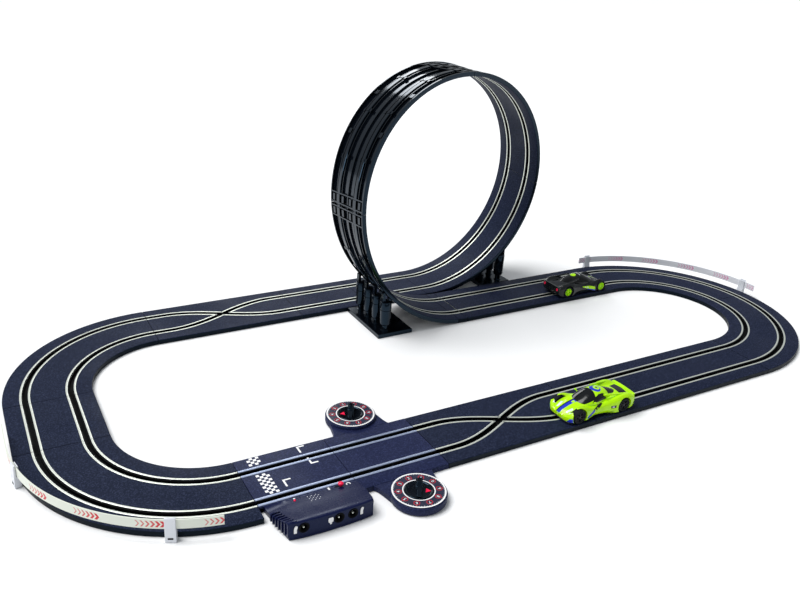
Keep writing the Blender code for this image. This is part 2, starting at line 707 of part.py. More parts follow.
def motor_centre():
    distance = GEAR_MODULE * (GEAR_TEETH + PINION_TEETH) / 2
    return (-WHEELBASE / 2 + distance * math.cos(MOTOR_ANGLE), AXLE_Z + distance * math.sin(MOTOR_ANGLE))


def gear_outline(teeth, phase):
    """Pointed teeth, shallower than the pitch allows, so that the pair runs free."""
    pitch = GEAR_MODULE * teeth / 2
    return star(teeth, pitch + 0.35, pitch - 0.55, phase)


def wheel_profile():
    """One wheel and its half of the axle, from the hub's face to the car's middle."""
    return [(0, 22.0), (6.0, 22.0), (6.3, 23.2), (8.0, 23.2), (WHEEL_R, 22.3), (WHEEL_R, 15.2), (8.0, 14.7),
            (2.6, 14.7), (1.0, 14.4)]


def axle_set(name, x, place):
    pivot = empty(name + "_axis", (x, 0, AXLE_Z), 0, place)
    pivot.rotation_euler = (math.pi / 2, 0, 0)
    half = wheel_profile()
    profile = half + [(r, -h) for r, h in reversed(half)]
    return turned(name, profile, 20, pivot, "tyre_rubber"), pivot


def car_guide(name, place):
    """The guide: a post in the chassis, a flange under it and the blade that runs in the slot."""
    pivot = empty(name + "_axis", (GUIDE_X, 0, 0), 0, place)
    post = [(0, 6.4), (3.0, 6.4), (3.0, 5.6), (1.9, 5.6), (1.9, 1.2), (0, 1.2)]
    guide = turned(name, post, 12, pivot, "black_plastic")
    flange = box("flange", (-7, -3.5, 0.5), (5, 3.5, 1.7), pivot)
    join(guide, flange, box("blade", (-5.0, -1.0, -3.6), (3.5, 1.0, 0.9), pivot))
    return guide


def make_car(prefix, x, y, turn, paint):
    place = empty(prefix + "_place", (x, y, TRACK_T), turn, LAYOUT)
    car_body(prefix + "_body", place, paint)
    car_cabin(prefix + "_cabin", place)
    car_chassis(prefix + "_chassis", place)
    axle_set(prefix + "_front_wheels", WHEELBASE / 2, place)
    rear, pivot = axle_set(prefix + "_rear_wheels", -WHEELBASE / 2, place)
    # in the axle's frame local x stays, local y is up and local z points to the right
    mesh_phase = MOTOR_ANGLE
    gear = outline("gear", gear_outline(GEAR_TEETH, mesh_phase), -GEAR_Y - 1.0, -GEAR_Y + 1.0, "Z", pivot)
    join(rear, gear)
    motor_x, motor_z = motor_centre()
    shaft = empty(prefix + "_pinion_axis", (motor_x, 0, motor_z), 0, place)
    shaft.rotation_euler = (math.pi / 2, 0, 0)
    phase = math.pi + MOTOR_ANGLE + math.pi / PINION_TEETH
    teeth = gear_outline(PINION_TEETH, phase)
    pinion = outline(prefix + "_pinion", teeth, -GEAR_Y - 1.2, -GEAR_Y + 1.0, "Z", shaft, "brass")
    join(pinion, cylinder("shaft", (0, 0, -8.75), 0.8, 5.3, segments=10, parent=shaft))
    half_can = [(-7.6, -3.6), (-4.6, -5.9), (4.6, -5.9), (7.6, -3.6)]
    can = half_can + [(-a, -b) for a, b in half_can]
    placed = [(motor_x + a, motor_z + b) for a, b in can]
    outline(prefix + "_motor", placed, -8.6, 5.8, "Y", place, "steel")
    car_guide(prefix + "_guide", place)


def layout_bounds():
    """Lowest and highest corners of all the parts, in the layout's frame."""
    graph = bpy.context.evaluated_depsgraph_get()
    corners = []
    for obj in PARTS.objects:
        evaluated = obj.evaluated_get(graph)
        corners += [obj.matrix_world @ Vector(c) for c in evaluated.bound_box]
    return np.min(corners, axis=0), np.max(corners, axis=0)


def main():
    make_track()
    make_supports()
    make_barriers()
    make_counters()
    make_control_box()
    make_car("lime_car", LIME_CAR_X, -LANE, math.pi, "lime_paint")
    make_car("black_car", BLACK_CAR_X, REAR_NEAR_Y - LANE, 0.0, "black_paint")
    bpy.context.view_layer.update()
    low, high = layout_bounds()
    LAYOUT.location = (-(low[0] + high[0]) / 2, -(low[1] + high[1]) / 2, 0)
    bpy.context.view_layer.update()


clear_scene()
PARTS = new_collection("slot_car_track_set")
CUTTERS = new_collection("cutters")
LAYOUT = empty("layout")
main()
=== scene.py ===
import math

import bmesh
import bpy
import numpy as np
from bpy.props import FloatProperty, FloatVectorProperty, PointerProperty
from mathutils import Matrix, Vector


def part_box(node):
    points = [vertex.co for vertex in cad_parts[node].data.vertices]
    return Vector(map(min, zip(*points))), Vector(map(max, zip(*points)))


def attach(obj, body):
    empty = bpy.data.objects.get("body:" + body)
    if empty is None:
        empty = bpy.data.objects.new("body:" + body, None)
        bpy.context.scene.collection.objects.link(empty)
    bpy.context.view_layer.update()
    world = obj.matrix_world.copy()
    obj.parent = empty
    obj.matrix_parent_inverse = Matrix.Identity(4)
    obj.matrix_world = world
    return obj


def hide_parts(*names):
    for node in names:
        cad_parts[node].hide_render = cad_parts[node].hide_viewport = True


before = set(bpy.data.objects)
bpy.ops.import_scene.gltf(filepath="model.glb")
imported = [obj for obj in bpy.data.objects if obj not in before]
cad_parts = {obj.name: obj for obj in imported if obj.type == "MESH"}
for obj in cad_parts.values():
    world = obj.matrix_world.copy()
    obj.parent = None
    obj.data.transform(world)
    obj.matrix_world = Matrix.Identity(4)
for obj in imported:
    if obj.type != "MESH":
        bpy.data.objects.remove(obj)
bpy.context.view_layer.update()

bl_info = {
    "name": "Slot car track set",
    "version": (1, 0, 0),
    "blender": (4, 5, 0),
    "location": "View3D > Sidebar > Track set",
    "description": "Builds the visible pieces of a slot car track set around its packed parts",
    "category": "Add Mesh",
}

MM = 0.001

# The layout frame, in millimetres: x = 0 at the left end of the start straight, y = 0 on
# the front straights' centre line, z = 0 on the floor.
GAP = 0.3
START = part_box("start_straight")
ORIGIN = np.array([START[0].x - GAP / 2 * MM, (START[0].y + START[1].y) / 2, 0.0])


def place_of(node):
    """Low and high corners of a CAD node in the layout frame, in millimetres."""
    low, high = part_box(node)
    return (np.array(low) - ORIGIN) / MM, (np.array(high) - ORIGIN) / MM


START_LOW, START_HIGH = place_of("start_straight")
TRACK_T = START_HIGH[2]
EDGE = (START_HIGH[1] - START_LOW[1]) / 2
MODULE = START_HIGH[0] + GAP / 2
FRONT_LENGTH = place_of("front_long_straight")[1][0] + GAP / 2
CURVE_R = place_of("left_short_straight")[0][1] - GAP / 2
REAR_NEAR_Y = 2 * CURVE_R
REAR_FAR_Y = place_of("rear_crossover")[0][1] + EDGE
LOOP_SHIFT = REAR_FAR_Y - REAR_NEAR_Y
LOOP_X = (place_of("loop_lower_left")[0][0] + place_of("loop_lower_right")[1][0]) / 2
LOOP_R = place_of("loop_upper_left")[1][2] / 2 - TRACK_T
LOOP_SEAM_X = place_of("rear_short_straight")[1][0] + GAP / 2
LOOP_SEAM_ANGLE = math.radians(5)
LANE = 25.5
UP = np.array([0.0, 0.0, 1.0])


# ------------------------------------------------------------------------------ settings

def linear(code):
    """An sRGB hex value, such as 2B3348, as linear red, green and blue."""
    values = [int(code[i:i + 2], 16) / 255 for i in (0, 2, 4)]
    return tuple(v / 12.92 if v <= 0.04045 else ((v + 0.055) / 1.055) ** 2.4 for v in values)


def length(name, description, millimetres):
    return FloatProperty(name=name, description=description, default=millimetres * MM,
                         unit="LENGTH", precision=5)


def colour(name, description, code):
    return FloatVectorProperty(name=name, description=description, default=linear(code),
                               subtype="COLOR", size=3, min=0.0, max=1.0)


class TrackSizes(bpy.types.PropertyGroup):
    """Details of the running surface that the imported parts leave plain."""
    rail_width: length("Rail width", "Width of each steel rail", 2.3)
    rail_offset: length("Rail offset", "From the middle of a slot to the middle of a rail", 4.7)
    rail_height: length("Rail height", "How far a rail stands above the plastic", 0.35)
    slot_width: length("Slot width", "Width of the slot that guides a car", 4.0)
    seam: length("Seam", "Set back of each piece at a joint", 0.35)
    grain: length("Grain", "Size of the moulded grain on the running surface", 1.5)
    checker: length("Checker square", "Side of a square of the start line", 3.5)
    arrow_pitch: length("Arrow pitch", "Repeat of the printed arrows on a barrier", 63.5)


class TrackColours(bpy.types.PropertyGroup):
    """Colours of the set."""
    track: colour("Track", "Charcoal of the track pieces", "10162A")
    start: colour("Start pieces", "Blue-grey of the start and counter pieces", "151A38")
    black: colour("Black", "Glossy black of supports and undersides", "05070C")
    box: colour("Box", "Dark blue of the control box", "0E1336")
    rail: colour("Rails", "Plated steel rails", "E2E6DC")
    start_rail: colour("Start rails", "Rails of the start pieces", "A6B2CC")
    print_white: colour("White print", "White printing ink", "F4F4F4")
    print_red: colour("Red print", "Red printing ink", "C80A22")
    barrier: colour("Barrier", "Off-white of the barrier strips", "DADED2")
    lime: colour("Lime", "Fluorescent lime paint", "B4F000")
    graphite: colour("Graphite", "Dark paint of the second car", "15191A")
    blue: colour("Blue", "Blue of the racing stripes", "1F35B8")


# -------------------------------------------------------------------------------- meshes

class Shape:
    """Points and faces of one piece, gathered patch by patch in layout millimetres."""

    def __init__(self):
        self.points, self.faces, self.slots, self.count = [], [], [], 0

    def grid(self, points, wrap=False, slots=0):
        """Quads between the neighbours of a grid of points, rows by columns."""
        points = np.asarray(points, float)
        rows, columns = points.shape[:2]
        index = np.arange(rows * columns).reshape(rows, columns) + self.count
        if wrap:
            index = np.concatenate([index, index[:, :1]], 1)
        quads = np.stack([index[:-1, :-1], index[1:, :-1], index[1:, 1:], index[:-1, 1:]], -1)
        slots = np.broadcast_to(slots, quads.shape[:2])
        self.faces += quads.reshape(-1, 4).tolist()
        self.slots += slots.reshape(-1).tolist()
        self.points.append(points.reshape(-1, 3))
        self.count += rows * columns
        return self

    def polygon(self, ring, slot=0):
        ring = np.asarray(ring, float)
        self.faces.append(list(range(self.count, self.count + len(ring))))
        self.slots.append(slot)
        self.points.append(ring)
        self.count += len(ring)
        return self

    def tube(self, rings, slots=0, cap_slot=0):
        """A closed section carried through space, with both ends closed."""
        self.grid(rings, wrap=True, slots=slots)
        return self.polygon(rings[0], cap_slot).polygon(rings[-1], cap_slot)

    def build(self, name, materials, body, slot, replaces=(), sharp=32, bevel=0.0):
        """Makes the mesh object, with doubles merged, normals outwards and sharp edges kept."""
        mesh = bpy.data.meshes.new(name)
        points = np.concatenate(self.points) * MM + ORIGIN
        mesh.from_pydata(points.tolist(), [], self.faces)
        mesh.polygons.foreach_set("material_index", self.slots)
        bm = bmesh.new()
        bm.from_mesh(mesh)
        bmesh.ops.remove_doubles(bm, verts=bm.verts, dist=2e-6)
        bmesh.ops.dissolve_degenerate(bm, edges=bm.edges, dist=1e-6)
        bmesh.ops.recalc_face_normals(bm, faces=bm.faces)
        bm.to_mesh(mesh)
        bm.free()
        return publish(mesh, name, materials, body, replaces, sharp, bevel)


def publish(mesh, name, materials, body, replaces=(), sharp=32, bevel=0.0):
    """Links a finished mesh, shades it and hands it to the frame."""
    piece = bpy.data.objects.new(name, mesh)
    bpy.context.scene.collection.objects.link(piece)
    for material in materials if isinstance(materials, (list, tuple)) else [materials]:
        mesh.materials.append(material)
    mesh.polygons.foreach_set("use_smooth", np.ones(len(mesh.polygons), bool))
    mesh.set_sharp_from_angle(angle=math.radians(sharp))
    if bevel:
        round_edges = piece.modifiers.new("round_edges", "BEVEL")
        round_edges.width = bevel * MM
        round_edges.segments = 2
        round_edges.limit_method = "ANGLE"
        round_edges.angle_limit = math.radians(sharp)
        round_edges.harden_normals = False
    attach(piece, body)
    if replaces:
        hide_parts(*([replaces] if isinstance(replaces, str) else replaces))
    return piece


def carry(frames, section):
    """Section points (side, up) carried through frames: origin + side * s + up * h."""
    origin, side, up = (np.asarray(v, float)[:, None, :] for v in frames)
    section = np.asarray(section, float)
    return origin + side * section[None, :, 0:1] + up * section[None, :, 1:2]


def turn(profile, centre, axis="Z", segments=64, start=0.0):
    """A profile of (radius, height) turned about an axis: centre + r (cos t, sin t) + h axis."""
    profile = np.asarray(profile, float)
    angle = np.linspace(0, 2 * np.pi, segments, endpoint=False) + start
    a = profile[:, 0:1] * np.cos(angle)
    b = profile[:, 0:1] * np.sin(angle)
    h = np.broadcast_to(profile[:, 1:2], a.shape)
    order = {"Z": (a, b, h), "Y": (a, -h, b), "X": (h, a, b)}[axis]
    return np.stack(order, -1) + np.asarray(centre, float)


def turned(shape, profile, centre, axis="Z", segments=64, slots=0):
    return shape.grid(turn(profile, centre, axis, segments), wrap=True, slots=slots)


def block(shape, low, high, slot=0):
    """A box from its corners."""
    (x0, y0, z0), (x1, y1, z1) = low, high
    ring = [(x0, y0), (x1, y0), (x1, y1), (x0, y1)]
    rings = [[(x, y, z) for x, y in ring] for z in (z0, z1)]
    return shape.tube(np.array(rings, float), slot, slot)


def plate(shape, outline, low, high, slot=0, rim=0.0):
    """A flat outline between two heights; with a rim, its top edge is cut back by that much."""
    outline = np.asarray(outline, float)
    levels = [(low, 0.0), (high - rim, 0.0), (high, rim)] if rim else [(low, 0.0), (high, 0.0)]
    ahead = np.roll(outline, -1, 0) - np.roll(outline, 1, 0)
    inward = np.stack([-ahead[:, 1], ahead[:, 0]], 1) / np.linalg.norm(ahead, axis=1)[:, None]
    area = np.sum(outline[:, 0] * np.roll(outline[:, 1], -1) - outline[:, 1] * np.roll(outline[:, 0], -1))
    inward = inward * np.sign(area)
    rings = [np.column_stack([outline + inward * d, np.full(len(outline), z)]) for z, d in levels]
    return shape.tube(np.array(rings), slot, slot)


def hermite(x, knots):
    """A smooth curve through (x, value) knots, with the mean slope at each."""
    knots = np.asarray(knots, float)
    xs, ys = knots[:, 0], knots[:, 1]
    step = np.diff(xs)
    slope = np.diff(ys) / step
    inner = np.where(slope[:-1] * slope[1:] > 0, (slope[:-1] + slope[1:]) / 2, 0.0)
    m = np.concatenate([[slope[0]], inner, [slope[-1]]])
    i = np.clip(np.searchsorted(xs, x) - 1, 0, len(step) - 1)
    t = np.clip((x - xs[i]) / step[i], 0, 1)
    h = step[i]
    return ((2 * t**3 - 3 * t**2 + 1) * ys[i] + (t**3 - 2 * t**2 + t) * h * m[i]
            + (3 * t**2 - 2 * t**3) * ys[i + 1] + (t**3 - t**2) * h * m[i + 1])


# ----------------------------------------------------------------------------- materials

def add(tree, kind, inputs=None, **settings):
    """Adds a node, makes its settings, and gives each socket a value or a link."""
    node = tree.nodes.new(kind)
    for key, value in settings.items():
        setattr(node, key, value)
    for key, value in (inputs or {}).items():
        socket = node.inputs[key]
        if isinstance(value, bpy.types.NodeSocket):
            tree.links.new(value, socket)
        else:
            socket.default_value = value
    return node


def shader_of(name, **sockets):
    """A new material and its Principled shader, with constants set on its own sockets."""
    material = bpy.data.materials.new(name)
    material.use_nodes = True
    shader = material.node_tree.nodes["Principled BSDF"]
    for key, value in sockets.items():
        shader.inputs[key.replace("_", " ")].default_value = value
    return material, material.node_tree, shader


def rgba(value):
    return (*value[:3], 1.0)


def noise(tree, size_mm, detail=2.0, roughness=0.5):
    """Object-space noise whose blobs are about size_mm across."""
    place = add(tree, "ShaderNodeTexCoord")
    return add(tree, "ShaderNodeTexNoise", {"Vector": place.outputs["Object"], "Scale": 1 / (size_mm * MM),
                                            "Detail": detail, "Roughness": roughness})


def blend_colours(tree, mask, low, high):
    mix = add(tree, "ShaderNodeMix", {"Factor": mask}, data_type="RGBA")
    mix.inputs["A"].default_value = rgba(low)
    mix.inputs["B"].default_value = rgba(high)
    return mix.outputs["Result"]


def steps(tree, value, low, high, out_low=0.0, out_high=1.0):
    return add(tree, "ShaderNodeMapRange", {"Value": value, "From Min": low, "From Max": high,
                                            "To Min": out_low, "To Max": out_high}).outputs["Result"]


def grained_abs(name, base, grain_mm, roughness=0.5, depth=0.25, tip_highlight=0.5, gloss=0.22):
    """ABS from a spark-eroded mould: a fine grain that breaks up the highlight, a painted highlight
    that lightens the base colour on the grain's high points, and slow changes of gloss where the
    surface has been wiped."""
    material, tree, shader = shader_of(name, IOR=1.53)
    shader.inputs["Specular IOR Level"].default_value = gloss
    shader.inputs["Specular Tint"].default_value = (0.62, 0.8, 1.0, 1)
    fine = noise(tree, grain_mm, 3.0, 0.65).outputs["Fac"]
    slow = noise(tree, 70.0, 2.0).outputs["Fac"]
    # Painted highlight: the base colour is lightened on the high points of the grain noise, standing in for
    # glints on the grain's peaks.
    glint_tips = steps(tree, fine, 0.48, 0.74, 0.0, tip_highlight)
    highlight_colour = tuple(min(1.0, v * 4.5 + 0.03) for v in base)
    tree.links.new(blend_colours(tree, glint_tips, base, highlight_colour), shader.inputs["Base Color"])
    tree.links.new(steps(tree, slow, 0.35, 0.65, roughness - 0.07, roughness + 0.07),
                   shader.inputs["Roughness"])
    bump = add(tree, "ShaderNodeBump", {"Height": fine, "Strength": 0.6, "Distance": depth * MM})
    tree.links.new(bump.outputs["Normal"], shader.inputs["Normal"])
    return material


def moulded_abs(name, base, roughness=0.2, wave=0.02, gloss=0.3, tint=(1.0, 1.0, 1.0)):
    """ABS from a polished mould: clear highlights, bent a little by sink marks."""
    material, tree, shader = shader_of(name, Base_Color=rgba(base), IOR=1.53)
    shader.inputs["Specular IOR Level"].default_value = gloss
    shader.inputs["Specular Tint"].default_value = rgba(tint)
    slow = noise(tree, 14.0, 2.0).outputs["Fac"]
    tree.links.new(steps(tree, slow, 0.3, 0.7, roughness * 0.75, roughness * 1.25),
                   shader.inputs["Roughness"])
    bump = add(tree, "ShaderNodeBump", {"Height": slow, "Strength": 0.4, "Distance": wave * MM})
    tree.links.new(bump.outputs["Normal"], shader.inputs["Normal"])
    return material


def printed_paint(name, base, layers, roughness=0.16, flake=0.0):
    """Sprayed lacquer under pad prints. Each layer is (attribute, colour): the attribute holds the
    distance to the print's edge in millimetres, above zero inside it."""
    material, tree, shader = shader_of(name, Roughness=roughness, IOR=1.5)
    shader.inputs["Specular IOR Level"].default_value = 0.25
    shader.inputs["Coat Weight"].default_value = 0.2
    shader.inputs["Coat Roughness"].default_value = 0.06
    cloud = noise(tree, 18.0, 2.0).outputs["Fac"]
    low = tuple(v * (0.86 - flake) for v in base)
    colour_now = blend_colours(tree, steps(tree, cloud, 0.3, 0.7), low, base)
    for attribute, tone in layers:
        edge = add(tree, "ShaderNodeAttribute", attribute_name=attribute).outputs["Fac"]
        mix = add(tree, "ShaderNodeMix", {"Factor": steps(tree, edge, -0.12, 0.12)}, data_type="RGBA")
        tree.links.new(colour_now, mix.inputs["A"])
        mix.inputs["B"].default_value = rgba(tone)
        colour_now = mix.outputs["Result"]
    tree.links.new(colour_now, shader.inputs["Base Color"])
    peel = noise(tree, 3.0, 2.0).outputs["Fac"]
    bump = add(tree, "ShaderNodeBump", {"Height": peel, "Strength": 0.15, "Distance": 0.02 * MM})
    tree.links.new(bump.outputs["Normal"], shader.inputs["Normal"])
    return material


def rolled_steel(name, base, roughness=0.28):
    """Plated steel strip: a metal whose gloss changes along fine rolling lines."""
    material, tree, shader = shader_of(name, Base_Color=rgba(base), Metallic=0.8)
    fine = noise(tree, 0.6, 2.0).outputs["Fac"]
    tree.links.new(steps(tree, fine, 0.3, 0.7, roughness - 0.06, roughness + 0.08),
                   shader.inputs["Roughness"])
    return material


def ink(name, base, roughness=0.45):
    """Pad-printed ink: flat colour, thinner here and there."""
    material, tree, shader = shader_of(name, Roughness=roughness)
    thin = steps(tree, noise(tree, 2.5, 3.0).outputs["Fac"], 0.3, 0.7, 0.0, 1.0)
    pale = tuple(v * 0.88 for v in base)
    tree.links.new(blend_colours(tree, thin, pale, base), shader.inputs["Base Color"])
    return material


LIBRARY = {}


def make_library():
    """Every finish of the set, by name."""
    c = bpy.context.scene.track_colours
    grain = bpy.context.scene.track_sizes.grain / MM
    LIBRARY.update(
        # The sixth value given to each grained_abs is the share of painted highlight on the grain's high
        # points.
        track=grained_abs("charcoal_grained_abs", c.track, grain, 0.56, 0.25, 0.6, 0.1),
        start=grained_abs("blue_grey_grained_abs", c.start, grain, 0.5, 0.15, 0.5, 0.14),
        gloss=moulded_abs("black_polished_abs", c.black, 0.12, 0.05, 0.36, (0.4, 0.68, 1.0)),
        side=moulded_abs("black_satin_abs", c.black, 0.4, 0.02, 0.14, (0.4, 0.68, 1.0)),
        # groove: the black darkened to three tenths, painted shade for slot walls, rebates, slot floors,
        # clip holes and the switch well; in the jack cups it is also the sockets' own black plastic.
        groove=moulded_abs("black_abs_painted_shade", tuple(v * 0.3 for v in c.black), 0.6, 0.01, 0.08),
        box=moulded_abs("dark_blue_satin_abs", c.box, 0.26, 0.03, 0.18, (0.5, 0.68, 1.0)),
        rail=rolled_steel("plated_steel_rail", c.rail, 0.42),
        start_rail=rolled_steel("blue_steel_rail", c.start_rail, 0.42),
        white=ink("white_ink", c.print_white),
        red=ink("red_ink", c.print_red),
        clip=moulded_abs("pale_grey_polished_abs", linear("D5D8DE"), 0.25),
        dial=moulded_abs("dial_black_card", linear("20243A"), 0.4),
        red_plastic=moulded_abs("red_polished_abs", linear("F01848"), 0.22),
        rubber=grained_abs("tyre_rubber", linear("141414"), 0.7, 0.75, 0.1, 0.1),
        board=moulded_abs("green_circuit_board", linear("1F6B35"), 0.4),
        brass=rolled_steel("turned_brass", linear("D8B15A"), 0.3),
        motor=rolled_steel("motor_can_steel", linear("BFC3C8"), 0.3),
    )


# --------------------------------------------------------------------------- track paths

def straight_path(start, end, steps_=2):
    """Frames along a straight between two floor points: origin, left-hand side, up."""
    start, end = (np.array([*p, TRACK_T], float) for p in (start, end))
    ahead = (end - start) / np.linalg.norm(end - start)
    side = np.cross(UP, ahead)
    share = np.linspace(0, 1, steps_)[:, None]
    origin = start + (end - start) * share
    return origin, np.broadcast_to(side, origin.shape), np.broadcast_to(UP, origin.shape)


def arc_path(centre, radius, first, last, steps_=41):
    """Frames along a level arc: centre + radius (cos t, sin t)."""
    angle = np.radians(np.linspace(first, last, steps_))
    out = np.stack([np.cos(angle), np.sin(angle), np.zeros_like(angle)], 1)
    origin = np.array([*centre, TRACK_T]) + out * radius
    return origin, out, np.broadcast_to(UP, origin.shape)


def loop_path(angle):
    """Frames on the loop: a circle seen from the front, moved sideways by angle - sin(angle)."""
    angle = np.asarray(angle, float)
    share = (angle - np.sin(angle)) / (2 * np.pi)
    slope = LOOP_SHIFT * (1 - np.cos(angle)) / (2 * np.pi)
    origin = np.stack([LOOP_X - LOOP_R * np.sin(angle), REAR_NEAR_Y + LOOP_SHIFT * share,
                       TRACK_T + LOOP_R * (1 - np.cos(angle))], 1)
    up = np.stack([np.sin(angle), np.zeros_like(angle), np.cos(angle)], 1)
    ahead = np.stack([-LOOP_R * np.cos(angle), slope, LOOP_R * np.sin(angle)], 1)
    ahead /= np.linalg.norm(ahead, axis=1)[:, None]
    return origin, np.cross(ahead, up), up


def join_paths(*paths):
    return tuple(np.concatenate(parts) for parts in zip(*paths))


def track_paths():
    """The frames along each swept piece's path, by the piece's node name."""
    y1, y2, r, far = REAR_NEAR_Y, REAR_FAR_Y, CURVE_R, CURVE_R + LOOP_SHIFT
    s = bpy.context.scene.track_sizes.seam / MM
    a = math.degrees(s / r)
    t = s / LOOP_R
    quarter = np.pi / 2

    def loop_piece(first, last, n=46):
        return loop_path(np.linspace(first + t, last - t, n))

    foot = join_paths(tuple(v[::-1] for v in straight_path((LOOP_X + 1, y1), (FRONT_LENGTH - s, y1))))
    toe = loop_path(np.linspace(0, LOOP_SEAM_ANGLE - t, 6))
    last = loop_path(np.linspace(3 * quarter + t, 4 * quarter, 46))
    tail = (np.array([[LOOP_SEAM_X + s, y2, TRACK_T]]), last[1][-1:], last[2][-1:])
    return {
        "start_straight": straight_path((s, 0), (MODULE - s, 0)),
        "counter_straight": straight_path((MODULE + s, 0), (2 * MODULE - s, 0)),
        "front_long_straight": straight_path((4 * MODULE + s, 0), (FRONT_LENGTH - s, 0)),
        "right_curve_front": arc_path((FRONT_LENGTH, r), r, -90 + a, -a),
        "right_curve_rear": arc_path((FRONT_LENGTH, r), r, a, 90 - a),
        "rear_long_straight": join_paths((foot[0], -foot[1], foot[2]), toe),
        "loop_lower_left": loop_piece(LOOP_SEAM_ANGLE, quarter),
        "loop_upper_left": loop_piece(quarter, 2 * quarter),
        "loop_upper_right": loop_piece(2 * quarter, 3 * quarter),
        "loop_lower_right": join_paths(last, tail),
        "rear_short_straight": straight_path((LOOP_SEAM_X - MODULE + s, y2), (LOOP_SEAM_X - s, y2)),
        "rear_closing_straight": straight_path((2 * MODULE + s, y2), (LOOP_SEAM_X - MODULE - s, y2)),
        "left_curve_rear": arc_path((0, far), r, 90 + a, 180 - a),
        "left_short_straight": straight_path((-r, far - s), (-r, r + s)),
        "left_curve_front": arc_path((0, r), r, 180 + a, 270 - a),
    }


def lane_section(lane, half):
    """The groove of one lane: a rebate each side of the slot, then the slot, both near-black as painted
    shade.
    """
    lip = half + 1.3
    return [(lane - lip, 0), (lane - lip, -0.5), (lane - half, -0.8), (lane - half, -4.5),
            (lane + half, -4.5), (lane + half, -0.8), (lane + lip, -0.5), (lane + lip, 0)]


def under_section(lane):
    """Underside below one lane, from its outer side inwards: rib, slot housing, rib."""
    return [(lane + 8.6, -2.3), (lane + 8.3, -4.9), (lane + 7.2, -4.9), (lane + 6.9, -2.3),
            (lane + 4.4, -2.3), (lane + 3.9, -5.6), (lane + 3.3, -6.1), (lane - 3.3, -6.1),
            (lane - 3.9, -5.6), (lane - 4.4, -2.3), (lane - 6.9, -2.3), (lane - 7.2, -4.9),
            (lane - 8.3, -4.9), (lane - 8.6, -2.3)]


def track_section():
    """The closed section of a track piece, and the finish of each of its strips."""
    half = bpy.context.scene.track_sizes.slot_width / MM / 2
    top = [(-EDGE, -TRACK_T), (-EDGE, -0.7), (-EDGE + 0.2, -0.2), (-EDGE + 0.7, 0)]
    top += lane_section(-LANE, half) + lane_section(LANE, half)
    top += [(EDGE - 0.7, 0), (EDGE - 0.2, -0.2), (EDGE, -0.7), (EDGE, -TRACK_T)]
    under = [(EDGE - 2.2, -TRACK_T), (EDGE - 2.6, -2.3)] + under_section(LANE)
    under += [(1.4, -2.3), (1.1, -4.6), (-1.1, -4.6), (-1.4, -2.3)]
    under += under_section(-LANE) + [(-EDGE + 2.6, -2.3), (-EDGE + 2.2, -TRACK_T)]
    # Finish 2, the darkened groove black, goes on the rebates and slot walls: painted shade in the
    # recesses.
    surface = [1, 0, 0, 0] + [2] * 7 + [0] + [2] * 7 + [0] + [0, 0, 1]
    slots = surface + [1] * (len(top) + len(under) - len(surface))
    return np.array(top + under), np.array(slots)


def rail_section(width, height):
    w = width / 2
    return [(-w, -0.6), (-w, height - 0.15), (-w + 0.3, height), (w - 0.3, height), (w, height - 0.15),
            (w, -0.6)]


def shifted(frames, offset):
    """The same path moved sideways."""
    origin, side, up = frames
    return origin + side * offset, side, up


class Piece:
    """Shared parts of the operators."""
    bl_options = {"REGISTER", "UNDO"}

    def execute(self, context):
        self.make(context.scene.track_sizes, context.scene.track_colours)
        return {"FINISHED"}


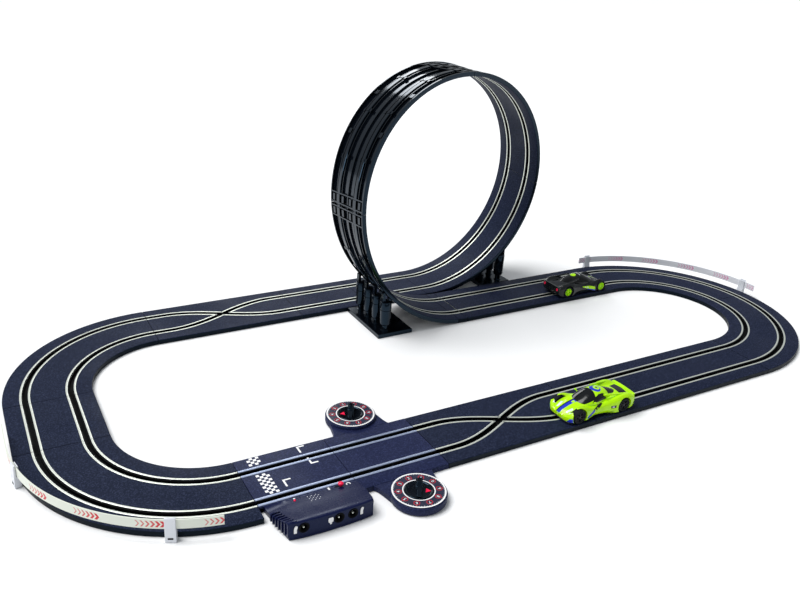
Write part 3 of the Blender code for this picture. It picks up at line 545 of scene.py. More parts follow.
class TRACKSET_OT_swept_track(Piece, bpy.types.Operator):
    """Straights, curves and loop: one section carried along each piece's path, with four rails"""
    bl_idname = "trackset.swept_track"
    bl_label = "Straights, curves and loop"

    def make(self, sizes, colours):
        section, slots = track_section()
        offset = sizes.rail_offset / MM
        for node, frames in track_paths().items():
            start = node in ("start_straight", "counter_straight")
            profile = self.start_profile(section) if node == "start_straight" else section
            shape = Shape().tube(carry(frames, profile), slots, 1)
            if node.startswith("loop"):
                self.loop_fittings(shape, node)
            surface = LIBRARY["start" if start else "track"]
            side = LIBRARY["start" if start else "gloss" if node.startswith("loop") else "side"]
            shape.build("track_" + node, [surface, side, LIBRARY["groove"]], "track_set",
                        "start_plastic" if start else "track_plastic", node)
            rails = Shape()
            width = (sizes.rail_width + (0.9 * MM if start else 0)) / MM
            rail = rail_section(width, sizes.rail_height / MM)
            for lane in (-LANE, LANE):
                for sign in (-1, 1):
                    path = shifted(frames, lane + sign * offset)
                    if node == "start_straight" and lane + sign * offset < BOX_EDGE + 1.4:
                        continue
                    rails.tube(carry(path, rail))
            rails.build("rails_" + node, LIBRARY["start_rail" if start else "rail"], "track_set", "steel")

    def start_profile(self, section):
        """The start piece ends at the control box, so its near edge is moved in to it."""
        keep = section.copy()
        keep[:, 0] = np.maximum(keep[:, 0], BOX_EDGE + 0.3)
        return keep

    def loop_fittings(self, shape, node):
        """Cross flanges, catches and eyes on the outside of the loop."""
        quarter = {"loop_lower_left": 0, "loop_upper_left": 1, "loop_upper_right": 2,
                   "loop_lower_right": 3}[node]
        base = quarter * np.pi / 2

        def bar(angle, width, low, high, left, right):
            span = width / 2 / LOOP_R
            frames = loop_path(np.linspace(angle - span, angle + span, 3))
            ring = [(left, low), (left, high), (right, high), (right, low)]
            shape.tube(carry(frames, ring), 1, 1)

        first = 5 if quarter == 0 else 0
        for degrees in (first + 0.9, first + 5.4, 84.6, 89.1):
            bar(base + math.radians(degrees), 1.6, -6.2, -2.0, -EDGE + 2.3, EDGE - 2.3)
        for degrees in (22.0, 45.0, 68.0):
            for lane in (-LANE, LANE):
                for side in (-1, 1):
                    bar(base + math.radians(degrees), 5.0, -6.4, -2.0, lane + side * 7.7 - 1.6,
                        lane + side * 7.7 + 1.6)
                bar(base + math.radians(degrees), 3.0, -6.7, -5.0, lane - 3.0, lane + 3.0)
        for degrees in (first + 3.1, 86.9):
            for lane in (-LANE, LANE):
                for side in (-1, 1):
                    bar(base + math.radians(degrees), 9.0, -6.5, -2.0, lane + side * 14 - 3.0,
                        lane + side * 14 + 3.0)
                bar(base + math.radians(degrees), 11.0, -6.9, -5.0, lane - 4.2, lane + 4.2)
        for degrees in (34.0, 56.0):
            for side in (-1, 1):
                bar(base + math.radians(degrees), 7.0, -5.4, -2.0, side * 40 - 3.5, side * 40 + 3.5)


class TRACKSET_OT_crossovers(Piece, bpy.types.Operator):
    """Crossovers: slabs between the two lanes, which change places along a cosine"""
    bl_idname = "trackset.crossovers"
    bl_label = "Crossovers"

    def make(self, sizes, colours):
        self.crossover("front_crossover", 2 * MODULE, 0.0, sizes)
        self.crossover("rear_crossover", 0.0, REAR_FAR_Y, sizes)

    def lane(self, x, start, sign):
        """Height of a lane across the piece: sign * lane * cos(pi * share), level at the ends."""
        share = np.clip((x - start - 25) / (2 * MODULE - 50), 0, 1)
        return sign * LANE * np.cos(np.pi * share)

    def half_width(self, x, start, half):
        slope = (self.lane(x + 0.5, start, 1) - self.lane(x - 0.5, start, 1))
        return half * np.sqrt(1 + slope**2)

    def crossover(self, node, start, y, sizes):
        seam = sizes.seam / MM
        half = sizes.slot_width / MM / 2 + 1.3
        xs = np.linspace(start + seam, start + 2 * MODULE - seam, 161)
        lane = np.abs(self.lane(xs, start, 1))
        gap = self.half_width(xs, start, half)
        shape = Shape()
        edge = np.full_like(xs, EDGE)
        self.slab(shape, xs, lane + gap, edge, y, outer=1)
        self.slab(shape, xs, -edge, -lane - gap, y, outer=-1)
        middle = start + MODULE
        for side in (-1, 1):
            inside = (lane > gap) & ((xs - middle) * side > 0)
            x = xs[inside]
            tip = np.interp(0.0, *(v[::side] for v in ((lane - gap)[(xs - middle) * side > 0],
                                                       xs[(xs - middle) * side > 0])))
            x = np.append(x, tip) if side < 0 else np.insert(x, 0, tip)
            reach = np.maximum(np.abs(self.lane(x, start, 1)) - self.half_width(x, start, half), 0.02)
            self.slab(shape, x, -reach, reach, y)
        # The block's top is the floor of the slots; its darkened groove black is painted shade at the
        # slots' bottom.
        block(shape, (xs[0], y - EDGE + 0.1, 0), (xs[-1], y + EDGE - 0.1, TRACK_T - 4.5), 2)
        shape.build("track_" + node, [LIBRARY["track"], LIBRARY["side"], LIBRARY["groove"]],
                    "track_set", "track_plastic", node)
        self.rails(node, xs, start, y, sizes)

    def slab(self, shape, x, low, high, y, outer=0):
        """A strip of surface between two edge curves, with its walls down into the grooves."""
        top, foot = TRACK_T, TRACK_T - 4.4
        r = 0.7
        # Walls down into the grooves take finish 2, the darkened groove black: painted shade in the slots.
        if outer:
            rim = high if outer > 0 else low
            other = low if outer > 0 else high
            rings = [(other, foot), (other, top), (rim - outer * r, top), (rim, top - r), (rim, 0.0),
                     (rim - outer * 2, 0.0),
                     (rim - outer * 2, foot)]
            slots = [2, 0, 0, 1, 1, 1, 1]
        else:
            rings = [(low, foot), (low, top), (high, top), (high, foot)]
            slots = [2, 0, 2, 2]
        points = np.stack([np.stack([x, v + y, np.full_like(x, z)], 1) for v, z in rings], 1)
        shape.tube(points, np.array(slots), 1)

    def rails(self, node, xs, start, y, sizes):
        """Four rails beside the lanes, left out where the other lane's slot crosses them."""
        offset = sizes.rail_offset / MM
        section = rail_section(sizes.rail_width / MM, sizes.rail_height / MM)
        shape = Shape()
        xs = np.linspace(xs[0], xs[-1], 401)
        for sign in (-1, 1):
            centre = self.lane(xs, start, sign)
            other = self.lane(xs, start, -sign)
            slope = np.gradient(centre, xs)
            norm = np.sqrt(1 + slope**2)
            side = np.stack([-slope / norm, 1 / norm, np.zeros_like(xs)], 1)
            for hand in (-1, 1):
                path = np.stack([xs, centre + y, np.full_like(xs, TRACK_T)], 1) + side * hand * offset
                beside = path[:, 1] - y - np.interp(path[:, 0], xs, other)
                free = np.abs(beside) / norm > sizes.slot_width / MM / 2 + 1.2
                runs = np.split(np.arange(len(xs)), np.flatnonzero(np.diff(free.astype(int))) + 1)
                for run in runs:
                    if free[run[0]] and len(run) > 4:
                        up = np.broadcast_to(UP, (len(run), 3))
                        shape.tube(carry((path[run], side[run], up), section))
        shape.build("rails_" + node, LIBRARY["rail"], "track_set", "steel")


BOX_LOW, BOX_HIGH = place_of("control_box_cover")
BOX_EDGE = BOX_HIGH[1]


class TRACKSET_OT_start_prints(Piece, bpy.types.Operator):
    """White prints on the start piece: a checkered line and three grid brackets"""
    bl_idname = "trackset.start_prints"
    bl_label = "Start line prints"

    def make(self, sizes, colours):
        shape = Shape()
        low, high = TRACK_T - 0.2, TRACK_T + 0.05
        square = sizes.checker / MM
        rows = int((EDGE * 2) // square)
        for row in range(rows):
            for column in range(4):
                y0 = -EDGE + 0.8 + row * square
                y1 = y0 + square
                if (row + column) % 2 or self.in_groove(y0, y1, sizes) or y1 > EDGE - 0.8:
                    continue
                x0 = 14.5 + column * square
                if y0 < BOX_EDGE + 0.5:
                    continue
                block(shape, (x0, y0, low), (x0 + square, y1, high))
        for x, y, hand in ((72.5, 48, 1), (75.5, 12.3, -1), (37, -1.2, 1)):
            self.bracket(shape, x, y, hand, low, high)
        shape.build("start_line_prints", LIBRARY["white"], "track_set", "dial_print")

    def in_groove(self, y0, y1, sizes):
        reach = (sizes.rail_offset + sizes.rail_width / 2) / MM
        return any(y0 < lane + reach and y1 > lane - reach for lane in (-LANE, LANE))

    def bracket(self, shape, x, y, hand, low, high):
        """Two bars at a right angle: one ahead, one down (hand 1) or up (hand -1)."""
        w = 2.0
        block(shape, (x, min(y, y - hand * w), low), (x + 9, max(y, y - hand * w), high))
        block(shape, (x, min(y - hand * w, y - hand * 12), low),
              (x + w, max(y - hand * w, y - hand * 12), high))


# ------------------------------------------------------------------------------ supports

class TRACKSET_OT_supports(Piece, bpy.types.Operator):
    """Loop supports: glossy plates with four posts, and sleeves with forked heads on them"""
    bl_idname = "trackset.supports"
    bl_label = "Loop supports"

    def make(self, sizes, colours):
        low, high = place_of("loop_base_left")
        cradle_low, cradle_high = place_of("loop_cradle_left")
        x = (cradle_low[0] + cradle_high[0]) / 2
        ys = np.linspace(cradle_low[1] + 8, cradle_high[1] - 8, 4)
        for name, turned_round in (("left", False), ("right", True)):
            base, cradle = Shape(), Shape()
            self.base(base, low, high, x, ys)
            self.cradle(cradle, x, ys)
            for shape in (base, cradle):
                if turned_round:
                    pivot = np.array([2 * LOOP_X, REAR_NEAR_Y + REAR_FAR_Y, 0])
                    shape.points = [p * (-1, -1, 1) + pivot for p in shape.points]
            base.build("support_base_" + name, LIBRARY["gloss"], "track_set", "gloss_plastic",
                       "loop_base_" + name)
            cradle.build("support_posts_" + name, LIBRARY["gloss"], "track_set", "gloss_plastic",
                         "loop_cradle_" + name)

    def base(self, shape, low, high, x, ys):
        """A plate with a cut-back rim, and round posts on it."""
        outline = [(low[0], low[1]), (high[0], low[1]), (high[0], high[1]), (low[0], high[1])]
        plate(shape, outline, 0, 6.0, rim=0.5)
        for y in ys:
            post = [(0.01, 5.5), (6.2, 5.5), (6.2, 6.6), (5.6, 7.4), (4.5, 7.6), (4.5, 19.0), (0.01, 19.0)]
            turned(shape, post, (x, y, 0), segments=32)

    def cradle(self, shape, x, ys):
        """Sleeves with a ring and a wider tier, each with a fork that clips round a rib."""
        for y in ys:
            sleeve = [(0.01, 15.6), (7.0, 15.6), (7.6, 16.4), (8.0, 18.0), (8.0, 38.6), (7.3, 39.0),
                      (7.3, 40.0),
                      (8.3, 40.4), (8.3, 50.6), (7.8, 52.0), (6.4, 52.8), (0.01, 52.8)]
            turned(shape, sleeve, (x, y, 0), segments=40)
            for hand in (-1, 1):
                top = self.under_loop(x + hand * 4.6) + 0.4
                fork = [(hand * 2.4, 51), (hand * 7.2, 51), (hand * 6.8, top - 1.5), (hand * 3.2, top)]
                rings = [[(x + a, y + s, z) for a, z in fork] for s in (-3.2, 3.2)]
                shape.tube(np.array(rings, float))
        for a, b in zip(ys, ys[1:]):
            block(shape, (x - 2.0, a, 42.0), (x + 2.0, b, 49.0))

    def under_loop(self, x):
        """Height of the loop's underside above a place along its length."""
        radius = LOOP_R + TRACK_T
        return TRACK_T + LOOP_R - math.sqrt(radius**2 - (LOOP_X - x) ** 2)


# ------------------------------------------------------------------------------ barriers

def arrow_print(name, base, red):
    """Printed strip: groups of six red arrows, paler towards the tail of each group.
    Attribute 'along' runs in millimetres down the strip and 'rise' up from its lower edge."""
    material, tree, shader = shader_of(name, Roughness=0.35, IOR=1.5)
    pitch = bpy.context.scene.track_sizes.arrow_pitch / MM
    along = add(tree, "ShaderNodeAttribute", attribute_name="along").outputs["Fac"]
    rise = add(tree, "ShaderNodeAttribute", attribute_name="rise").outputs["Fac"]
    fold = add(tree, "ShaderNodeMath", {0: add(tree, "ShaderNodeMath", {0: rise, 1: 5.25},
                                               operation="SUBTRACT").outputs[0]},
               operation="ABSOLUTE").outputs[0]
    slant = add(tree, "ShaderNodeMath", {0: fold, 1: 0.8, 2: along}, operation="MULTIPLY_ADD").outputs[0]
    group = add(tree, "ShaderNodeMath", {0: slant, 1: pitch}, operation="FLOORED_MODULO").outputs[0]
    one = add(tree, "ShaderNodeMath", {0: group, 1: 4.6}, operation="FLOORED_MODULO").outputs[0]
    width = steps(tree, group, 0, 28, 1.3, 3.1)
    bar = add(tree, "ShaderNodeMath", {0: one, 1: width}, operation="LESS_THAN").outputs[0]
    inside = add(tree, "ShaderNodeMath", {0: group, 1: 27.6}, operation="LESS_THAN").outputs[0]
    height = add(tree, "ShaderNodeMath", {0: fold, 1: 3.5}, operation="LESS_THAN").outputs[0]
    mask = add(tree, "ShaderNodeMath", {0: bar, 1: inside}, operation="MULTIPLY").outputs[0]
    mask = add(tree, "ShaderNodeMath", {0: mask, 1: height}, operation="MULTIPLY").outputs[0]
    fade = steps(tree, group, 0, 22, 0.7, 1.0)
    mask = add(tree, "ShaderNodeMath", {0: mask, 1: fade}, operation="MULTIPLY").outputs[0]
    tree.links.new(blend_colours(tree, mask, base, red), shader.inputs["Base Color"])
    return material


# How far before the front strip's end the first group of arrows starts, in millimetres
ARROW_LEAD = 4


class TRACKSET_OT_barriers(Piece, bpy.types.Operator):
    """Barriers: bent printed strips held by four clips"""
    bl_idname = "trackset.barriers"
    bl_label = "Barriers"

    def make(self, sizes, colours):
        low, high = place_of("barrier_strip_front")
        radius = -low[0] - 0.6
        printed = arrow_print("printed_barrier_strip", colours.barrier, colours.print_red)
        # The rear strip gets a paler copy of the printed strip: a lighter base and a pale pink in place of
        # the red.
        paler_print = arrow_print("paler_barrier_strip", linear("F0F1F6"), linear("EFA8CC"))
        left = arc_path((0, CURVE_R), radius, -101, -180, 60)
        run = straight_path((-radius, CURVE_R + 1), (-radius, high[1]), 4)
        front = join_paths(left, (run[0], np.broadcast_to([-1.0, 0, 0], run[0].shape), run[2]))
        rear = arc_path((FRONT_LENGTH, CURVE_R), radius, -2.7, 88, 70)
        self.strip("barrier_front", front, low, high, printed, "barrier_strip_front")
        self.strip("barrier_rear", rear, low, high, paler_print, "barrier_strip_rear")
        for name in ("front_left", "front_right", "rear_left", "rear_right"):
            self.clip(name)

    def strip(self, name, frames, low, high, printed, node):
        half, rise = 0.6, high[2] - low[2]
        section = [(-half, 0), (-half, rise), (half, rise), (half, 0)]
        lift = low[2] - TRACK_T
        rings = carry(frames, [(s, h + lift) for s, h in section])
        shape = Shape().tube(rings)
        piece = shape.build("strip_" + name, printed, "track_set", "barrier_plastic", node)
        steps_ = np.linalg.norm(np.diff(frames[0], axis=0), axis=1)
        run = np.concatenate([[0], np.cumsum(steps_)])
        points = np.array([v.co for v in piece.data.vertices])
        layout = (points - ORIGIN) / MM
        nearest = np.argmin(np.linalg.norm(layout[:, None, :2] - frames[0][None, :, :2], axis=2), axis=1)
        lead = ARROW_LEAD if "front" in name else 0
        tag(piece, "along", run.max() + lead - run[nearest])
        tag(piece, "rise", layout[:, 2] - low[2])

    def clip(self, name):
        """A bracket extruded across its width; its face is set in, with a near-black block below where the
        hole is, as painted shade.
        """
        centre = np.array([0 if "front" in name else FRONT_LENGTH, CURVE_R])
        angle = {"front_right": -114.5, "front_left": -168.0, "rear_left": 83.0, "rear_right": 4.0}[name]
        out = np.array([math.cos(math.radians(angle)), math.sin(math.radians(angle)), 0])
        side = np.array([-out[1], out[0], 0])
        foot = np.array([*centre, 0]) + out * (CURVE_R + EDGE)
        outline = [(0.8, 0.0), (8.0, 0.0), (8.0, 3.0), (6.8, 25.4), (6.2, 26.4), (5.0, 26.5), (5.0, 13.2),
                   (3.2, 13.2),
                   (3.2, 25.0), (2.0, 25.0), (2.0, 11.0), (0.8, 9.0)]
        rings = [[foot + out * a + UP * b + side * s for a, b in outline] for s in (-5.25, 5.25)]
        shape = Shape().tube(np.array(rings))
        shape.build("clip_" + name, LIBRARY["clip"], "track_set", "clip_plastic", "barrier_clip_" + name,
                    bevel=0.35)
        # Painted shade: a near-black block, just proud of the face, stands for the shade in the clip's
        # hole.
        eye = Shape()
        face = lambda z: 8.0 - (z - 3.0) * 1.2 / 22.4
        rings = [[foot + out * (face(z) + d) + UP * z + side * s for s,
                  z in ((-2.6, 3.4), (2.6, 3.4), (2.6, 5.4), (-2.6, 5.4))]
                 for d in (-0.6, 0.06)]
        eye.tube(np.array(rings))
        eye.build("clip_eye_shade_" + name, LIBRARY["groove"], "track_set", "black_plastic")


# --------------------------------------------------------------------------- lap counters

class TRACKSET_OT_counters(Piece, bpy.types.Operator):
    """Lap counters: round housings on necks, printed dials and turning grips"""
    bl_idname = "trackset.counters"
    bl_label = "Lap counters"

    def make(self, sizes, colours):
        for where, hand in (("front", -1), ("rear", 1)):
            low, high = place_of("counter_knob_" + where)
            centre = (low + high) / 2
            self.housing(where, hand, centre)
            self.dial(where, centre)
            self.knob(where, hand, centre, low[2])

    def housing(self, where, hand, centre):
        shape = Shape()
        x, y = centre[:2]
        puck = [(0.01, 0.3), (29.0, 0.3), (29.6, 1.2), (30.0, 2.4), (30.0, 8.4), (29.7, 9.2), (29.0, 9.5),
                (28.6, 9.5),
                (28.6, 9.3), (0.01, 9.3)]
        turned(shape, puck, (x, y, 0), segments=96)
        edge = hand * (EDGE + GAP) - y
        t = np.linspace(0, 1, 13)
        sweep_left = np.stack([-36.4 + 8.2 * t**0.6, edge * (1 - t)], 1)
        sweep_right = np.stack([34.4 - 5.6 * t**0.6, edge * (1 - t)], 1)
        neck = np.concatenate([sweep_left, sweep_right[::-1]]) + [x, y]
        plate(shape, neck, 0.3, TRACK_T - 0.3)
        shape.build("housing_" + where, LIBRARY["start"], "track_set", "start_plastic",
                    "counter_housing_" + where)

    def dial(self, where, centre):
        """Card ring with a white rim scale, ten digits in red frames and a white inner ring."""
        x, y = centre[:2]
        card, white, red = Shape(), Shape(), Shape()
        turned(card, [(16.0, 9.4), (16.0, 10.4), (28.5, 10.4), (28.5, 9.4)], (x, y, 0), segments=96)
        for a, b in ((26.9, 28.5), (16.1, 17.3)):
            turned(white, [(a, 10.3), (a, 10.5), (b, 10.5), (b, 10.3)], (x, y, 0), segments=96)
        for i in range(60):
            angle = 2 * math.pi * i / 60
            inner = 26.0 if i % 6 else 25.6
            self.tick(white, x, y, angle, inner, 27.0, 0.22)
        for i in range(10):
            angle = 2 * math.pi * (i + 0.5) / 10
            self.frame_ring(red, x + 21.4 * math.cos(angle), y + 21.4 * math.sin(angle), angle)
            self.tick(red, x, y, angle, 24.6, 25.9, 0.5)
        card.build("dial_card_" + where, LIBRARY["dial"], "track_set", "dial_print",
                   "counter_scale_" + where)
        white.build("dial_scale_" + where, LIBRARY["white"], "track_set", "dial_print")
        red.build("dial_frames_" + where, LIBRARY["red"], "track_set", "dial_print")
        self.digits(where, x, y)

    def tick(self, shape, x, y, angle, inner, outer, half):
        c, s = math.cos(angle), math.sin(angle)
        ring = [(inner, -half), (outer, -half), (outer, half), (inner, half)]
        rings = [[(x + a * c - b * s, y + a * s + b * c, z) for a, b in ring] for z in (10.3, 10.5)]
        shape.tube(np.array(rings))

    def frame_ring(self, shape, x, y, angle):
        """A rounded six-sided frame round a digit."""
        t = np.linspace(0, 2 * np.pi, 6, endpoint=False) + angle
        for a, b in ((3.0, 3.7),):
            profile = [(a, 10.3), (a, 10.5), (b, 10.5), (b, 10.3)]
            profile = np.asarray(profile)
            rings = np.stack([profile[:, 0:1] * np.cos(t) + x, profile[:, 0:1] * np.sin(t) + y,
                              np.broadcast_to(profile[:, 1:2], (4, 6))], -1)
            rings = np.concatenate([rings, rings[:1]])
            shape.grid(rings, wrap=True)

    def digits(self, where, x, y):
        """Ten digits round the ring, made from the built-in face and laid flat as mesh."""
        shape = Shape()
        for i in range(10):
            curve = bpy.data.curves.new("digit", "FONT")
            curve.body = str(i)
            curve.size = 5.2
            curve.align_x = curve.align_y = "CENTER"
            curve.extrude = 0.06
            curve.resolution_u = 3
            holder = bpy.data.objects.new("digit", curve)
            mesh = bpy.data.meshes.new_from_object(holder)
            points = np.array([v.co for v in mesh.vertices]).reshape(-1, 3)
            angle = 2 * math.pi * (i + 0.5) / 10
            turn_by = angle - math.pi / 2
            c, s = math.cos(turn_by), math.sin(turn_by)
            flat = points[:, :2] @ np.array([[c, s], [-s, c]])
            flat = flat + [x + 21.4 * math.cos(angle), y + 21.4 * math.sin(angle)]
            placed = np.column_stack([flat, points[:, 2] + 10.45])
            shape.faces += [[v + shape.count for v in p.vertices] for p in mesh.polygons]
            shape.slots += [0] * len(mesh.polygons)
            shape.points.append(placed)
            shape.count += len(placed)
            bpy.data.objects.remove(holder)
            bpy.data.curves.remove(curve)
            bpy.data.meshes.remove(mesh)
        shape.build("dial_digits_" + where, LIBRARY["white"], "track_set", "dial_print")

    def knob(self, where, hand, centre, foot):
        """A disc with a raised rim, a tall grip across it, and a red pointer on the disc."""
        x, y = centre[:2]
        shape = Shape()
        disc = [(0.01, foot), (3.9, foot), (3.9, 6.0), (2.8, 6.0), (2.8, 9.8), (15.4, 9.8), (15.5, 10.9),
                (15.0, 11.3),
                (13.6, 11.3), (13.0, 10.7), (0.01, 10.7)]
        turned(shape, disc, (x, y, 0), segments=72)
        angle = math.radians(60)
        c, s = math.cos(angle), math.sin(angle)

        def bar(outline, half):
            rings = [[(x + a * c - b * s, y + a * s + b * c, z) for a, z in outline] for b in (-half, half)]
            shape.tube(np.array(rings))

        bar([(-13.5, 10.5), (13.5, 10.5), (13.5, 13.0), (9.0, 16.5), (8.0, 20.0), (1.0, 20.0), (-1.0, 15.8),
             (-13.5, 14.0)], 2.4)
        bar([(-4.0, 10.5), (9.5, 10.5), (8.5, 19.2), (-2.0, 16.0)], 3.6)
        shape.build("knob_" + where, LIBRARY["gloss"], "knob_" + where, "knob_plastic",
                    "counter_knob_" + where, bevel=0.3)
        pointer = Shape()
        at = math.radians(-35 if hand < 0 else 165)
        tip = np.array([math.cos(at), math.sin(at)])
        across = np.array([-tip[1], tip[0]])
        corners = [tip * 12.6, tip * 7.2 + across * 3.4, tip * 7.2 - across * 3.4]
        plate(pointer, [(x + p[0], y + p[1]) for p in corners], 10.6, 11.1)
        pointer.build("pointer_" + where, LIBRARY["red_plastic"], "knob_" + where, "red_plastic")


# ---------------------------------------------------------------------------- control box

def cut_round(piece, cutters, sharp=32):
    """Cuts turned solids out of a piece with Boolean modifiers, applied at once."""
    for cutter in cutters:
        modifier = piece.modifiers.new("cut", "BOOLEAN")
        modifier.object = cutter
        modifier.solver = "EXACT"
    bpy.context.view_layer.update()
    graph = bpy.context.evaluated_depsgraph_get()
    mesh = bpy.data.meshes.new_from_object(piece.evaluated_get(graph))
    piece.modifiers.clear()
    old = piece.data
    piece.data = mesh
    bpy.data.meshes.remove(old)
    mesh.polygons.foreach_set("use_smooth", np.ones(len(mesh.polygons), bool))
    mesh.set_sharp_from_angle(angle=math.radians(sharp))
    for cutter in cutters:
        bpy.data.objects.remove(cutter)
    return piece


def loose(shape, name):
    """A mesh object that belongs to no body, for use as a cutter."""
    mesh = bpy.data.meshes.new(name)
    mesh.from_pydata((np.concatenate(shape.points) * MM + ORIGIN).tolist(), [], shape.faces)
    bm = bmesh.new()
    bm.from_mesh(mesh)
    bmesh.ops.remove_doubles(bm, verts=bm.verts, dist=2e-6)
    bmesh.ops.recalc_face_normals(bm, faces=bm.faces)
    bm.to_mesh(mesh)
    bm.free()
    piece = bpy.data.objects.new(name, mesh)
    bpy.context.scene.collection.objects.link(piece)
    return piece


class TRACKSET_OT_control_box(Piece, bpy.types.Operator):
    """Control box: a sloping cover with rounded ends, jacks, switch, lamp and signs"""
    bl_idname = "trackset.control_box"
    bl_label = "Control box"

    def make(self, sizes, colours):
        self.cover()
        for node in ("jack_left", "jack_power", "jack_right"):
            self.jack(node)
        self.signs()
        self.switch()

    def front(self, x):
        """The front face in plan, bowed forwards in the middle."""
        share = (x - BOX_LOW[0]) / (BOX_HIGH[0] - BOX_LOW[0])
        return hermite(share, [(0, -83.5), (0.12, -85.0), (0.5, -87.0), (0.85, -86.0), (1, -84.5)])

    def crest(self, x):
        return TRACK_T + 13.3 + 0 * x

    def section(self, x, inset=0.0):
        """One slice, (y, z): up the back, over the slope and the crest, down the front."""
        back, front, top = BOX_EDGE, self.front(x), self.crest(x) - inset
        spots = [(back, 0.3), (back, TRACK_T + 0.3), (back - 0.7, TRACK_T + 0.9), (-38, TRACK_T + 1.7),
                 (-45, TRACK_T + 3.5),
                 (-52, TRACK_T + 5.0), (-58, TRACK_T + 6.3), (-65, TRACK_T + 8.1), (-72, TRACK_T + 10.1),
                 (-78, TRACK_T + 12.1),
                 (-81.5, TRACK_T + 13.0), (front + 1.4, top), (front + 0.6, top - 0.2),
                 (front + 0.15, top - 0.7),
                 (front + 0.1, top - 1.6), (front + 0.5, top - 1.8), (front + 0.4, 2.4), (front, 2.1),
                 (front, 0.3)]
        ring = np.array([(y, min(z, top) if z > 1 else z) for y, z in spots])
        # at the left the slope starts further from the rail, so it is read from a shifted place
        shift = 13 * np.clip((34 - x) / 26, 0, 1) ** 1.5 * np.clip((74 + ring[3:9, 0]) / 40, 0, 1)
        ring[3:9, 1] = np.interp(-ring[3:9, 0] - shift, -ring[1:10, 0], ring[1:10, 1])
        return ring

    def end(self, y, side):
        """How far an end face stands in from the box's full length, by its place in depth."""
        share = np.clip((-y + BOX_EDGE - 20) / 33, 0, 1)
        return (8.0 if side < 0 else 5.5) * share ** 1.3

    def cover(self):
        """The slices are carried along the box; both ends are cut back towards the front, and
        their top edges are rounded."""
        low, high = BOX_LOW[0], BOX_HIGH[0]
        near = np.array([0, 0.15, 0.5, 1.0, 1.7])
        xs = np.concatenate([low + near, np.linspace(low + 3, high - 3, 44), high - near[::-1]])
        rings = []
        for x in xs:
            depth = min(x - low, high - x)
            ring = self.section(x, 1.7 - math.sqrt(max(1.7**2 - (1.7 - depth) ** 2,
                                                       0)) if depth < 1.7 else 0.0)
            middle = (low + high) / 2
            weight = abs((x - middle) / (middle - low)) ** 3
            shift = self.end(ring[:, 0], -1 if x < middle else 1) * weight
            rings.append(np.column_stack([x - np.sign(x - middle) * shift, ring]))
        rings = np.array(rings)
        shape = Shape().grid(rings, wrap=True)
        for ring in (rings[0], rings[-1]):
            shape.polygon(ring)
        piece = shape.build("box_cover", LIBRARY["box"], "track_set", "box_plastic", "control_box_cover",
                            sharp=40)
        cutters = []
        for node in ("jack_left", "jack_power", "jack_right"):
            a, b = place_of(node)
            centre = ((a + b) / 2) * (1, 0, 1)
            tool = turned(Shape(), [(0.01, 78), (5.6, 78), (5.6, 95), (0.01, 95)], centre, "Y", 48)
            cutters.append(loose(tool, "tool"))
        cut_round(piece, cutters)
        self.ribs()

    def ribs(self):
        """Upright ribs on the left end, which run over its edge onto the slope."""
        shape = Shape()
        for i in range(7):
            y = -53.0 - i * 4.8
            left = BOX_LOW[0] + float(self.end(np.array(y), -1))
            z = self.slope(y)
            outline = [(left - 0.55, 3.0), (left - 0.55, z - 1.4), (left + 0.5, z - 0.1),
                       (left + 1.6, z + 0.55),
                       (left + 8.5, z + 0.6), (left + 9.6, z - 0.8), (left + 9.6, 3.0)]
            drop = (self.slope(y + 1.1) - self.slope(y - 1.1)) / 2
            rings = [[(a, y + w, b + (hand * drop if b > 3 else 0)) for a, b in outline] for w,
                     hand in ((-1.1, -1), (1.1, 1))]
            shape.tube(np.array(rings))
        shape.build("box_ribs", LIBRARY["box"], "track_set", "box_plastic", bevel=0.25)

    def jack(self, node):
        """A cup with a stepped mouth and a pin in the middle."""
        a, b = place_of(node)
        centre = ((a + b) / 2) * (1, 0, 1)
        front = -(self.front(centre[0])) + 0.1
        cup = [(0.01, front - 6.0), (3.2, front - 6.0), (3.2, front - 1.4), (3.9, front - 0.6),
               (4.7, front), (5.3, front),
               (5.6, front - 0.4), (5.1, front - 0.8), (5.1, front - 9.5), (0.01, front - 9.5)]
        shape = turned(Shape(), cup, centre, "Y", 48)
        # The cup takes the groove black: the socket's own black plastic, darkened further as painted shade
        # in the deep cup.
        shape.build("socket_" + node, LIBRARY["groove"], "track_set", "black_plastic", node)
        pin = [(0.01, front - 7), (1.0, front - 7), (1.0, front - 1.8), (0.7, front - 1.3),
               (0.01, front - 1.2)]
        turned(Shape(), pin, centre, "Y", 20).build("pin_" + node, LIBRARY["rail"], "track_set", "steel")

    def signs(self):
        """Generic white signs on the front face and on the slope."""
        shape = Shape()

        def front_sign(outline, x, z):
            rings = [[(x + a, self.front(x + a) + d, z + b) for a, b in outline] for d in (0.3, -0.08)]
            shape.tube(np.array(rings, float))

